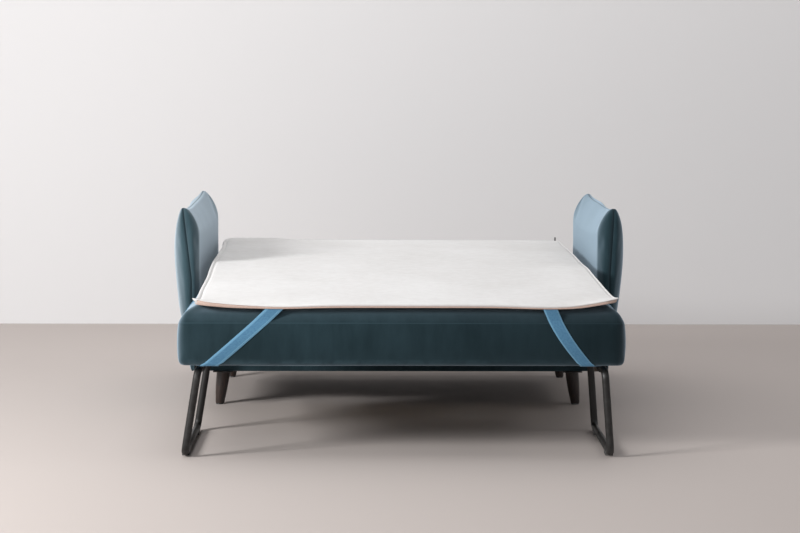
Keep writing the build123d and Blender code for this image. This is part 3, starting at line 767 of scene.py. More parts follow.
@dataclass(frozen=True)
class SeamedVelvet(Velvet):
    """Velvet of an arm, with painted shade in the crease along its seam where that is near an edge.
    """

    seam: SeamLine = SeamLine(0.806, 0.793)
    # The painted shade's colour; thread is a narrow painted shade line on the seam and hollow a
    # broader painted shade beside it, each as inner and outer distance and strength.
    crease: Colour = (0.010, 0.019, 0.024)
    thread: tuple[float, float, float] = (0.0014, 0.0034, 0.85)
    hollow: tuple[float, float, float] = (0.002, 0.010, 0.28)
    end_fade: tuple[float, float] = (0.024, 0.036)
    top_fade: tuple[float, float] = (0.050, 0.060)

    def sewn(self, job: Paint, colour: Socket) -> Socket:
        """Give the colour with painted shade along the seam in it.

        Args:
            job: The material that is made.
            colour: The pile's colour.

        Returns:
            The colour.
        """
        wiring, line = job.wiring, self.seam
        x, y, z = wiring.axes(job.place)
        front = wiring.spread(z, line.foot_z, line.peak_z, line.foot_x, line.top_x)
        along = wiring.spread(y, line.start_y, line.end_y)
        turned = wiring.times(along, wiring.maths("SUBTRACT", line.rear_x, front))
        aside = wiring.maths("SUBTRACT", wiring.maths("ABSOLUTE", x), wiring.plus(front, turned))
        gap = wiring.maths("ABSOLUTE", aside)
        # Painted shade: a narrow dark line on the seam and a broader darkening beside it, near the
        # arm's ends and ridge.
        dark = [
            wiring.times(wiring.spread(gap, inner, outer, 1.0, 0.0), strength)
            for inner, outer, strength in (self.thread, self.hollow)
        ]
        near_end, far_end = self.end_fade
        fades = [
            wiring.spread(y, line.front_y + near_end, line.front_y + far_end, 1.0, 0.0),
            wiring.spread(y, line.rear_y - far_end, line.rear_y - near_end),
            wiring.spread(z, line.peak_z - self.top_fade[1], line.peak_z - self.top_fade[0]),
        ]
        edge = wiring.maths("MAXIMUM", wiring.maths("MAXIMUM", *fades[:2]), fades[2])
        mask = wiring.times(wiring.maths("MAXIMUM", *dark), edge)
        return wiring.blend(mask, colour, self.crease)


@dataclass(frozen=True)
class Woven(Finish):
    """Cloth of crossed threads, laid out by a piece's own map or by its place."""

    along: float = 1800.0
    across: float = 1800.0
    mapped: bool = False
    depth: float = 0.0005
    # Half the band's width where the paler edge line ends, and how wide that line is.
    selvedge: float = 0.0
    selvedge_width: float = 0.0006

    def paint(self, job: Paint) -> None:
        """Lay the threads, and a paler line along both edges of the band where a pale edge is set.

        Args:
            job: The material that is made.
        """
        wiring = job.wiring
        if self.mapped:
            job.place = wiring.add("ShaderNodeTexCoord").outputs["UV"]
        weave = job.use(job.groups.weave, Along=self.along, Across=self.across)
        tone = wiring.times(weave["Thread"], 0.45)
        # A paler line along both edges of the band, as wide as given.
        if self.selvedge > 0:
            aside = wiring.maths("ABSOLUTE", wiring.axes(job.place)[1])
            rim = wiring.spread(aside, self.selvedge - self.selvedge_width, self.selvedge)
            tone = wiring.maths("MAXIMUM", tone, wiring.times(rim, 0.8))
        job.coat(Base_Color=wiring.blend(tone, self.deep, self.pale), Sheen_Weight=0.15)
        job.coat(Specular_IOR_Level=0.2)
        job.emboss(weave["Height"], self.depth, 0.6)


@dataclass(frozen=True)
class Knit(Finish):
    """Soft white knitted cloth with a faint raised figure."""

    pitch: float = 420.0

    def paint(self, job: Paint) -> None:
        """Lay the stitches.

        Args:
            job: The material that is made.
        """
        wiring = job.wiring
        nap = job.use(job.groups.nap, Patch=3.0, Fuzz=700.0)
        cells = wiring.add("ShaderNodeTexVoronoi", feature="SMOOTH_F1")
        wiring.feed(cells, Vector=job.place, Scale=self.pitch)
        job.coat(Base_Color=wiring.blend(nap["Brushed"], self.deep, self.pale))
        job.coat(Specular_IOR_Level=0.2, Sheen_Weight=0.12)
        height = wiring.plus(cells.outputs["Distance"], wiring.times(nap["Height"], 0.5))
        job.emboss(height, 0.0006, 0.35)


@dataclass(frozen=True)
class Wood(Finish):
    """Sawn or turned wood with grain along one direction."""

    stretch: Point = (60.0, 60.0, 4.0)
    rings: float = 3.0
    coat: float = 0.0

    def paint(self, job: Paint) -> None:
        """Lay the grain, paler scuffs and a thin varnish.

        Args:
            job: The material that is made.
        """
        wiring = job.wiring
        grain = job.use(job.groups.grain, Stretch=self.stretch, Rings=self.rings)
        wear = job.use(job.groups.wear, Amount=0.35, Scale=60.0)
        scuff = tuple(min(1.0, 2 * tone + 0.05) for tone in self.pale)
        colour = wiring.blend(grain["Figure"], self.deep, self.pale)
        gloss = wiring.spread(grain["Pores"], 0.0, 1.0, self.roughness + 0.1, self.roughness)
        job.coat(Base_Color=wiring.blend(wear["Scuffed"], colour, scuff), Roughness=gloss)
        job.coat(Coat_Weight=self.coat, Coat_Roughness=0.25)
        job.emboss(grain["Pores"], 0.0003, 0.35)


@dataclass(frozen=True)
class Coated(Finish):
    """Powder coat, bare plate or moulded plastic with worn edges."""

    roughness: float = 0.5
    metallic: float = 0.0
    speckle: float = 1500.0
    relief: float = 0.0002
    wear: float = 0.5
    bare: Colour = (0.3, 0.3, 0.3)

    def paint(self, job: Paint) -> None:
        """Lay the coat, its marks and the bare edges.

        Args:
            job: The material that is made.
        """
        wiring = job.wiring
        wear = job.use(job.groups.wear, Amount=self.wear, Scale=55.0)
        colour = wiring.blend(wear["Marks"], self.deep, self.pale)
        smooth, rough = self.roughness - 0.06, self.roughness + 0.1
        gloss = wiring.spread(wear["Marks"], 0.0, 1.0, smooth, rough)
        job.coat(Base_Color=wiring.blend(wear["Scuffed"], colour, self.bare), Roughness=gloss)
        job.coat(Metallic=self.metallic)
        job.emboss(wiring.speckle(job.place, self.speckle, detail=2.0), self.relief, 0.5)


@dataclass(frozen=True)
class Foam(Finish):
    """Open-cell foam with fine pores."""

    def paint(self, job: Paint) -> None:
        """Lay the pores.

        Args:
            job: The material that is made.
        """
        wiring = job.wiring
        nap = job.use(job.groups.nap, Patch=6.0, Fuzz=500.0)
        pores = wiring.add("ShaderNodeTexVoronoi", feature="DISTANCE_TO_EDGE")
        wiring.feed(pores, Vector=job.place, Scale=450.0)
        job.coat(Base_Color=wiring.blend(nap["Brushed"], self.deep, self.pale))
        job.emboss(pores.outputs["Distance"], 0.0008, 0.5)


LEFT_SEAM = SeamLine(top_x=0.806, foot_x=0.775)
RIGHT_SEAM = SeamLine(top_x=0.806, foot_x=0.793)
FINISH_LIST = (
    Velvet("velvet", (0.021, 0.043, 0.053), (0.050, 0.090, 0.108)),
    # Painted light and shade: both arms wear copies of one velvet, the left one paler with a paler
    # painted sheen, as lit, the right one darker, as shaded.
    SeamedVelvet(
        "left arm velvet",
        (0.028, 0.055, 0.067),
        (0.066, 0.114, 0.136),
        rim=(0.52, 0.62, 0.70),
        seam=LEFT_SEAM,
    ),
    SeamedVelvet(
        "right arm velvet", (0.014, 0.032, 0.040), (0.034, 0.066, 0.081), seam=RIGHT_SEAM
    ),
    BoxVelvet("seat velvet", (0.0118, 0.0265, 0.033), (0.026, 0.051, 0.063)),
    Wood(
        "plywood",
        (0.030, 0.021, 0.015),
        (0.070, 0.050, 0.036),
        roughness=0.6,
        stretch=(4.0, 4.0, 60.0),
        rings=2.0,
    ),
    Wood(
        "slat_wood",
        (0.52, 0.36, 0.20),
        (0.70, 0.53, 0.34),
        roughness=0.5,
        stretch=(3.0, 50.0, 50.0),
        coat=0.3,
    ),
    Wood(
        "leg_wood",
        (0.008, 0.0038, 0.0026),
        (0.027, 0.0125, 0.008),
        roughness=0.4,
        stretch=(70.0, 70.0, 5.0),
        rings=4.0,
        coat=0.3,
    ),
    Woven("lining_cloth", (0.012, 0.012, 0.013), (0.032, 0.032, 0.034), roughness=0.9),
    Woven(
        "webbing",
        (0.05, 0.042, 0.036),
        (0.17, 0.15, 0.12),
        along=2200.0,
        across=1500.0,
        mapped=True,
        depth=0.0012,
    ),
    Foam("foam", (0.66, 0.60, 0.44), (0.80, 0.75, 0.60), roughness=0.95),
    Coated("black_tube", (0.0055, 0.0048, 0.0042), (0.010, 0.009, 0.008), wear=0.25),
    Coated(
        "zinc_steel",
        (0.47, 0.48, 0.49),
        (0.55, 0.56, 0.57),
        roughness=0.44,
        metallic=0.85,
        speckle=300.0,
        relief=0.00005,
        wear=0.15,
    ),
    Coated("black_plastic", (0.014, 0.014, 0.014), (0.026, 0.026, 0.026), speckle=2400.0),
    Knit("topper_cloth", (0.635, 0.62, 0.605), (0.71, 0.70, 0.69), roughness=0.9),
    Woven("topper edge", (0.50, 0.36, 0.30), (0.68, 0.54, 0.47), along=1500.0, across=1500.0),
    Woven(
        "strap_elastic",
        (0.060, 0.175, 0.300),
        (0.15, 0.33, 0.48),
        roughness=0.75,
        along=3200.0,
        across=2100.0,
        mapped=True,
        depth=0.0004,
        selvedge=0.0185,
    ),
    Woven(
        "zip_cloth",
        (0.46, 0.34, 0.27),
        (0.66, 0.54, 0.46),
        along=2600.0,
        across=2600.0,
        mapped=True,
    ),
    Coated(
        "zip coil",
        (0.56, 0.47, 0.40),
        (0.68, 0.60, 0.53),
        roughness=0.35,
        speckle=900.0,
        relief=0.0001,
        wear=0.3,
    ),
    Coated(
        "zip_metal",
        (0.010, 0.010, 0.010),
        (0.02, 0.02, 0.02),
        roughness=0.3,
        metallic=0.6,
        speckle=900.0,
        relief=0.0001,
        wear=0.6,
    ),
)
FINISHES = {finish.key: finish for finish in FINISH_LIST}


class Wardrobe:
    """Builds each finish once and fits pieces out."""

    def __init__(self) -> None:
        """Start with the shared groups and no materials."""
        self.groups = SharedGroups()
        self.made: dict[str, bpy.types.Material] = {}

    def take(self, key: str) -> bpy.types.Material:
        """Give a finish's material, built on first use."""
        if key not in self.made:
            self.made[key] = FINISHES[key].dress(self.groups)
        return self.made[key]

    def wear(self, piece: Piece, *keys: str) -> None:
        """Put finishes in a piece's material slots."""
        piece.data.materials.clear()
        for key in keys:
            piece.data.materials.append(self.take(key))

    def fit(
        self,
        piece: Piece,
        body: Body,
        slot: str,
        *keys: str,
        node: str | None = None,
        fill: float | None = None,
    ) -> Piece:
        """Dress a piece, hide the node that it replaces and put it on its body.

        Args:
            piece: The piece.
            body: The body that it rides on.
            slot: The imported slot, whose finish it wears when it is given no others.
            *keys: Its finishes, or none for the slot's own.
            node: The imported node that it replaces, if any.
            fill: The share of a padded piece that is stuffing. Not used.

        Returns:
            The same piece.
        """
        self.wear(piece, *(keys or (slot,)))
        if node is not None:
            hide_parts(node)
        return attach(piece, body.value)


@dataclass(frozen=True)
class Swelling:
    """How far stuffed cloth may swell, and how it is simulated."""

    pressure: float = 4.0
    frames: int = 14
    cap: float = 0.008
    tension: float = 18.0
    bending: float = 2.0
    quality: int = 6

    def apply(self, piece: Piece, held: Callable[[Vector], float]) -> None:
        """Inflate a piece's cloth, then keep the result as its mesh.

        Args:
            piece: The mesh to swell.
            held: Gives how firmly a point is held, from 0 to 1.
        """
        rest = [vertex.co.copy() for vertex in piece.data.vertices]
        group = piece.vertex_groups.new(name="held")
        for index, place in enumerate(rest):
            group.add([index], held(place), "REPLACE")
        cloth = piece.modifiers.new("swell", "CLOTH")
        settings = cloth.settings
        settings.vertex_group_mass = group.name
        settings.use_pressure = True
        settings.uniform_pressure_force = self.pressure
        settings.effector_weights.gravity = 0
        settings.tension_stiffness = settings.compression_stiffness = self.tension
        settings.bending_stiffness = self.bending
        settings.quality = self.quality
        cloth.point_cache.frame_start, cloth.point_cache.frame_end = 1, self.frames
        scene = bpy.context.scene
        for frame in range(1, self.frames + 1):
            scene.frame_set(frame)
        swollen = piece.evaluated_get(bpy.context.evaluated_depsgraph_get()).to_mesh()
        moved = [vertex.co.copy() for vertex in swollen.vertices]
        piece.modifiers.remove(cloth)
        piece.vertex_groups.remove(group)
        scene.frame_set(1)
        for vertex, start, end in zip(piece.data.vertices, rest, moved):
            step = end - start
            if step.length > self.cap:
                step *= self.cap / step.length
            vertex.co = start + step
        piece.data.update()


# Soft blocks: the seat box, the folding panels and the foam


@dataclass
class SoftBlock:
    """A block of cloth or foam with rounded corners: a top, its walls and a turned hem."""

    name: str
    low: Vector
    high: Vector
    corner: float = 0.026
    edge: float = BOX_EDGE
    crown: float = 0.004
    bow: float = 0.005
    hem: float = 0.016
    columns: int = 56
    rows: int = 30
    crowd: float = 0.62
    wall_levels: int = 16
    wall_crowd: float = 0.35
    foot_height: float = 0.014
    foot_draw: float = 0.006
    seam_z: float | None = None
    seam_steps: tuple[float, ...] = (-0.009, -0.005, -0.0022, 0, 0.0022, 0.005, 0.009)
    seam_clear: float = 0.012
    welt: Point = (0.0010, 0.006, 0.004)
    groove: tuple[float, float] = (0.0032, 0.0022)
    closed: bool = False

    def __post_init__(self) -> None:
        """Work out the block's middle and half sizes, and where its wall begins."""
        self.middle = (self.low + self.high) / 2
        self.half = (self.high - self.low) / 2 - Vector((self.bow, self.bow, 0))
        self.wall_top = self.high.z - self.crown - self.edge

    def rounded(self, x: float, y: float, inset: float) -> tuple[float, float]:
        """Move a point on a sharp rectangle at an inset onto the rounded one.

        Args:
            x: The point's place from the middle.
            y: The point's place from the middle.
            inset: The rectangle's distance inside the outline.

        Returns:
            The rounded place from the middle.
        """
        least, slack = 1e-5, 1e-6
        half_x, half_y = self.half.x - inset, self.half.y - inset
        radius = max(self.corner - inset, 0.0)
        gap_x, gap_y = half_x - abs(x), half_y - abs(y)
        if radius < least or max(gap_x, gap_y) >= radius or min(gap_x, gap_y) > slack:
            return x, y
        eighth = math.pi / 4
        angle = eighth * (1 - gap_y / radius) if gap_x < gap_y else eighth * (1 + gap_x / radius)
        return (
            math.copysign(half_x - radius + radius * math.cos(angle), x),
            math.copysign(half_y - radius + radius * math.sin(angle), y),
        )

    def top_point(self, x: float, y: float) -> Point:
        """Place one point of the top.

        Args:
            x: Its place from the middle, as on a sharp rectangle.
            y: Its place from the middle, as on a sharp rectangle.

        Returns:
            The point in the frame.
        """
        inset = max(0.0, min(self.half.x - abs(x), self.half.y - abs(y)))
        over = max(0.0, self.edge - inset)
        drop = self.edge - math.sqrt(max(0.0, self.edge**2 - over**2))
        bulge = (1 - (x / self.half.x) ** 2) * (1 - (y / self.half.y) ** 2)
        plan_x, plan_y = self.rounded(x, y, inset)
        height = self.high.z - self.crown * (1 - bulge) - drop
        return self.middle.x + plan_x, self.middle.y + plan_y, height

    def outward(self, place: Point) -> Vector:
        """Find the level direction from the block's core to a point of its rim.

        Args:
            place: The point.

        Returns:
            A unit vector, or none where the point is in the core.
        """
        x, y = place[0] - self.middle.x, place[1] - self.middle.y
        core_x, core_y = self.half.x - self.corner, self.half.y - self.corner
        away = Vector((x - max(-core_x, min(core_x, x)), y - max(-core_y, min(core_y, y)), 0))
        return away.normalized() if away.length > 1e-9 else Vector((0, 0, 0))

    def wall_z(self) -> list[float]:
        """List the heights of the wall's rings, crowded at the welt.

        Returns:
            The heights below the wall's top, from the highest to the foot.
        """
        levels = spaced(self.low.z, self.wall_top, self.wall_levels, self.wall_crowd)
        if self.seam_z is not None:
            at_seam = [self.seam_z + step for step in self.seam_steps]
            levels = [z for z in levels if abs(z - self.seam_z) > self.seam_clear]
            levels += [z for z in at_seam if z < self.wall_top]
        return sorted(levels, reverse=True)[1:]

    def shape_wall(self, place: Vector, away: Vector) -> Vector:
        """Bow a point of the wall outwards, draw it in at the foot and sink the seam.

        Args:
            place: The point on the flat wall.
            away: The way out of the wall.

        Returns:
            The shaped point.
        """
        share = (place.z - self.low.z) / (self.wall_top - self.low.z)
        reach = 4 * self.bow * (0.25 - (share - 0.5) ** 2)
        foot = near(place.z - self.low.z, self.foot_height)
        reach -= min(self.foot_draw, self.edge / 6) * foot**2
        if self.seam_z is not None:
            raised, below, width = self.welt
            depth, narrow = self.groove
            welt = raised * bump(self.seam_z - below, width, place.z)
            reach += welt - depth * bump(self.seam_z, narrow, place.z)
        return place + away * reach

    def build(self) -> Piece:
        """Build the block's mesh.

        Returns:
            The new object.
        """
        xs = spaced(-self.half.x, self.half.x, self.columns, self.crowd)
        ys = spaced(-self.half.y, self.half.y, self.rows, self.crowd)
        points = [self.top_point(x, y) for y in ys for x in xs]
        outline = rim_places(len(ys), len(xs))
        rings = [[row * len(xs) + column for row, column in outline]]
        edge_points = [Vector(points[index]) for index in rings[0]]
        away = [self.outward(point) for point in edge_points]
        walls = [
            [
                self.shape_wall(Vector((point.x, point.y, height)), direction)
                for point, direction in zip(edge_points, away)
            ]
            for height in self.wall_z()
        ]
        foot = walls[-1]
        for inset in (self.hem / 3, self.hem):
            walls.append([point - direction * inset for point, direction in zip(foot, away)])
        for wall in walls:
            rings.append(list(range(len(points), len(points) + len(wall))))
            points += [tuple(point) for point in wall]
        faces = grid_faces(len(ys), len(xs)) + ring_faces(rings)
        if self.closed:
            faces += self.floor_faces(points, dict(zip(outline, rings[-1])), len(ys), len(xs))
        return build_mesh(self.name, points, faces)

    def floor_faces(
        self, points: list[Point], rim: dict[tuple[int, int], int], rows: int, columns: int
    ) -> Faces:
        """Close the block underneath with a flat grid inside its last ring.

        Args:
            points: The points made so far, to which the new ones are added.
            rim: The last ring's numbers by row and column.
            rows: Rows of the top's grid.
            columns: Points in a row of the top's grid.

        Returns:
            The new faces.
        """
        numbers = dict(rim)
        for row in range(1, rows - 1):
            for column in range(1, columns - 1):
                numbers[row, column] = len(points)
                points.append((*points[row * columns + column][:2], self.low.z))
        return [
            tuple(
                numbers[row + down, column + right]
                for down, right in ((0, 0), (1, 0), (1, 1), (0, 1))
            )
            for row in range(rows - 1)
            for column in range(columns - 1)
        ]


@dataclass
class Upholstery:
    """A velvet cover with a sewn welt line, gathered at its lower corners."""

    node: str
    body: Body
    finish: str
    seam_z: float
    hem: float = 0.018
    held_height: float = 0.02
    held_seam: tuple[float, float] = (0.9, 0.006)
    gather: float = 0.0038
    gather_height: float = 0.045
    gather_pitch: float = 0.016
    gather_reach: float = 0.09
    slack: float = 0.0012
    slack_pitch: float = 0.14
    pucker: Point = (0.0006, 0.02, 0.021)
    side_band: float = 0.05
    top_band: float = 0.03
    proud: float = 0.0026
    fill: float = 0.8
    seed: float = 3.0

    def build(self, wardrobe: Wardrobe, swelling: Swelling) -> Piece:
        """Build, swell and dress the cover.

        Args:
            wardrobe: The finishes.
            swelling: How its cloth swells.

        Returns:
            The cover.
        """
        self.low, self.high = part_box(self.node)
        name = f"{self.node}_cloth"
        cover = SoftBlock(name, self.low, self.high, hem=self.hem, seam_z=self.seam_z).build()
        swelling.apply(cover, self.held)
        for vertex in cover.data.vertices:
            vertex.co = self.settled(vertex.co.copy())
        refine(cover)
        return wardrobe.fit(
            cover, self.body, "velvet", self.finish, node=self.node, fill=self.fill
        )

    def held(self, place: Vector) -> float:
        """Hold the hem and the welt line firmly and leave the rest free to swell.

        Args:
            place: A point of the cloth.

        Returns:
            How firmly it is held, from 0 to 1.
        """
        firmness, width = self.held_seam
        on_hem = place.z < self.low.z + self.held_height
        return 1.0 if on_hem else firmness * bump(self.seam_z, width, place.z)

    def settled(self, place: Vector) -> Vector:
        """Add gathers at the lower corners and slight slack to one point.

        Args:
            place: The point.

        Returns:
            The point, moved.
        """
        low, high, run = self.low, self.high, place.x + place.y
        gap_x = min(place.x - low.x, high.x - place.x)
        gap_y = min(place.y - low.y, high.y - place.y)
        corner = near(max(gap_x, gap_y), self.gather_reach)
        foot = near(place.z - low.z, self.gather_height)
        fold = self.gather * foot * corner * wave(run, self.gather_pitch)
        slack = self.slack * ripple(place, self.slack_pitch, self.seed)
        depth, width, pitch = self.pucker
        seam = depth * bump(self.seam_z, width, place.z) * wave(run, pitch)
        away = Vector((place.x, place.y - (low.y + high.y) / 2, 0))
        if place.z < high.z - self.side_band:
            away.x = away.x if abs(place.x) > high.x - self.side_band else 0.0
            away.y = 0.0 if gap_y > self.side_band else away.y
        place += away.normalized() * (fold + slack + seam)
        if place.z > high.z - self.top_band:
            place.z += min(0.0, slack)
        limit = high.x + self.proud
        place.x = min(limit, max(-limit, place.x))
        return place


# Arms


@dataclass
class Arm:
    """A pillow-shaped arm: two padded faces sewn together along a ridge and down both ends."""

    side: Side
    seam: SeamLine
    rear_drop: float = 0.0
    ridge_drop: float = 0.020
    inner_x: float = 0.7468
    inner_foot_x: float = 0.7584
    inner_foot_z: tuple[float, float] = (0.30, 0.42)
    outer_end_x: float = 0.832
    outer_bow: float = 0.012
    foot_x: float = 0.784
    taper_z: float = 0.60
    taper_power: float = 1.6
    crown_depth: float = 0.120
    crown_power: float = 2.2
    crown_root: float = 0.50
    outer_fuller: Point = (0.34, 0.70, 0.24)
    inner_flatter: float = 0.14
    end_depth: float = 0.040
    end_least: float = 0.45
    corner_inset: float = 0.012
    corner_reach: tuple[float, float] = (0.05, 0.09)
    valley: tuple[float, float] = (0.006, 0.013)
    groove: tuple[float, float] = (0.0030, 0.003)
    groove_reach: tuple[float, float] = (0.02, 0.03)
    held_z: tuple[float, float] = (0.30, 0.36)
    held_seam: tuple[float, float] = (0.008, 0.01)
    pucker: tuple[float, float] = (0.0009, 0.026)
    pucker_gap: float = 0.012
    pucker_reach: tuple[float, float] = (0.012, 0.014)
    slack: tuple[float, float] = (0.0016, 0.16)
    end_turns_deg: tuple[int, ...] = (0, 3, 7, 13, 21, 31, 42, 54, 66, 78, 90)
    middle_places: int = 26
    lower_levels: int = 22
    crown_levels: int = 12
    crown_share: float = 0.2
    fill: float = 0.85
    seed: float = 1.0

    def __post_init__(self) -> None:
        """Read the arm's space from the frame."""
        self.node = f"arm_pad_{self.side.label}"
        low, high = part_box(self.node)
        self.front_y, self.rear_y, self.length = low.y, high.y, high.y - low.y
        self.foot_z, self.peak_z = low.z, self.seam.peak_z

    def ridge_z(self, y: float) -> float:
        """Find the height of the ridge, which dips between two peaks.

        Args:
            y: The depth along the arm.

        Returns:
            The height.
        """
        share = (y - self.front_y) / self.length
        dip = self.ridge_drop * (1 - abs(2 * share - 1) ** 3)
        return self.peak_z - dip - self.rear_drop * ease(0.5, 1.0, share)

    def seam_x(self, share: float, z: float) -> float:
        """Find the seam's sideways place, which wanders inwards towards the front's foot.

        Args:
            share: The place along the arm, from 0 at the front to 1 at the rear.
            z: The height.

        Returns:
            The distance from the bed's middle.
        """
        line = self.seam
        front = looked_up(((line.foot_z, line.foot_x), (line.peak_z, line.top_x)), z)
        y = self.front_y + self.length * share
        back = looked_up(((line.start_y, 0.0), (line.end_y, 1.0)), y)
        return front + (line.rear_x - front) * back

    def face_x(self, outer: bool, share: float, z: float) -> float:
        """Find the sideways place of a face's fullest part at a height.

        Args:
            outer: True on the face that looks away from the bed.
            share: The place along the arm, from 0 at the front to 1 at the rear.
            z: The height.

        Returns:
            The distance from the bed's middle.
        """
        if not outer:
            foot = 1 - ease(*self.inner_foot_z, z)
            return self.inner_x + (self.inner_foot_x - self.inner_x) * foot
        full = self.outer_end_x + self.outer_bow * (1 - (2 * share - 1) ** 4)
        fall = max(0.0, (self.taper_z - z) / (self.taper_z - self.foot_z))
        return full - (full - self.foot_x) * fall**self.taper_power

    def crown(self, outer: bool, share: float, top_gap: float) -> float:
        """Find how far a face has rounded out from the ridge.

        Args:
            outer: True on the face that looks away from the bed.
            share: The place along the arm, from 0 at the front to 1 at the rear.
            top_gap: The distance below the ridge.

        Returns:
            The share of the face's fullness, from 0 to 1.
        """
        amount, centre, width = self.outer_fuller
        full = amount * bump(centre, width, share) if outer else -self.inner_flatter * share
        from_top = min(1.0, top_gap / self.crown_depth)
        return (1 - (1 - from_top) ** self.crown_power) ** (self.crown_root - full)

    def point(self, outer: bool, share: float, level: float) -> Point:
        """Place one point of a face.

        Args:
            outer: True on the face that looks away from the bed.
            share: The place along the arm, from 0 at the front to 1 at the rear.
            level: The place up the arm, from 0 at the foot to 1 on the ridge.

        Returns:
            The point in the frame.
        """
        y = self.front_y + self.length * share
        ridge = self.ridge_z(y)
        z = self.foot_z + (ridge - self.foot_z) * level
        top_gap, end_gap = ridge - z, min(share, 1 - share) * self.length
        seam = self.seam_x(share, z)
        crown = self.crown(outer, share, top_gap)
        depth = self.end_depth * (self.end_least + (1 - self.end_least) * crown)
        turn = min(1.0, end_gap / depth)
        end = math.sqrt(max(0.0, 1 - (1 - turn) ** 2))
        x = seam + (self.face_x(outer, share, z) - seam) * end * crown
        inwards = 1 if share < 0.5 else -1
        down, back = self.corner_reach
        y += inwards * self.corner_inset * near(top_gap, down) ** 2 * near(end_gap, back)
        groove = self.groove[0] * bump(0, self.groove[1], abs(x - seam))
        valley = self.valley[0] * bump(0, self.valley[1], abs(x - seam)) + groove
        y += valley * near(end_gap, self.groove_reach[1]) * inwards
        z -= groove * near(top_gap, self.groove_reach[0])
        return self.side.value * x, y, z

    def shares(self) -> list[float]:
        """List the places along the arm, crowded where its ends turn round.

        Returns:
            The shares of its length, from 0 to 1.
        """
        turns = [1 - math.cos(math.radians(angle)) for angle in self.end_turns_deg]
        ends = [self.end_depth * turn / self.length for turn in turns]
        middle = spaced(ends[-1], 1 - ends[-1], self.middle_places, 0.3)[1:-1]
        return ends + middle + [1 - place for place in reversed(ends)]

    def heights(self) -> list[float]:
        """List the places up the arm, crowded towards the ridge.

        Returns:
            The shares of its height, from 0 to 1.
        """
        steps, top = self.crown_levels, self.crown_share
        crown = [1 - top * (1 - step / steps) ** 2 for step in range(1, steps + 1)]
        return spaced(0, 1 - top, self.lower_levels, 0.1) + crown

    def build(self, wardrobe: Wardrobe, swelling: Swelling) -> Piece:
        """Build, swell and dress the arm.

        Args:
            wardrobe: The finishes.
            swelling: How its cloth swells.

        Returns:
            The arm's pad.
        """
        shares, heights = self.shares(), self.heights()
        half = len(shares) * len(heights)
        points = [
            self.point(outer, share, level)
            for outer in (False, True)
            for level in heights
            for share in shares
        ]
        faces = grid_faces(len(heights), len(shares))
        faces += grid_faces(len(heights), len(shares), half)
        for column in range(len(shares) - 1):
            faces.append((column, column + 1, half + column + 1, half + column))
        pad = build_mesh(f"{self.node}_pillow", points, faces)
        swelling.apply(pad, self.held)
        for vertex in pad.data.vertices:
            vertex.co.x = self.settled_x(vertex.co)
        refine(pad)
        # Each arm wears its own side's copy of the velvet, with painted light on the left and painted
        # shade on the right.
        finish = f"{self.side.label} arm velvet"
        return wardrobe.fit(pad, Body.BASE, "velvet", finish, node=self.node, fill=self.fill)

    def held(self, place: Vector) -> float:
        """Hold the foot, the seam and the part beside the rail, and free the faces above.

        Args:
            place: A point of the cloth.

        Returns:
            How firmly it is held, from 0 to 1.
        """
        end_gap = min(place.y - self.front_y, self.rear_y - place.y)
        top_gap = self.ridge_z(place.y) - place.z
        seam = bump(0, self.held_seam[0], end_gap) + bump(0, self.held_seam[1], top_gap)
        return min(1.0, max(1 - ease(*self.held_z, place.z), seam))

    def settled_x(self, place: Vector) -> float:
        """Add slight slack, and small puckers beside the seam, to one point.

        Args:
            place: The point.

        Returns:
            Its new sideways place.
        """
        end_gap = min(place.y - self.front_y, self.rear_y - place.y)
        top_gap = self.ridge_z(place.y) - place.z
        near_seam = max(
            bump(self.pucker_gap, width, gap)
            for width, gap in zip(self.pucker_reach, (end_gap, top_gap))
        )
        pucker = self.pucker[0] * near_seam * wave(place.z + place.y, self.pucker[1])
        depth, pitch = self.slack
        slack = depth * ripple(place, pitch, self.seed) * ease(*self.inner_foot_z, place.z)
        share = (place.y - self.front_y) / self.length
        outwards = 1 if abs(place.x) > self.seam_x(share, place.z) else -1
        x = place.x + self.side.value * outwards * (pucker + slack)
        return self.side.value * max(self.inner_x, abs(x))


# Topper, straps and zip


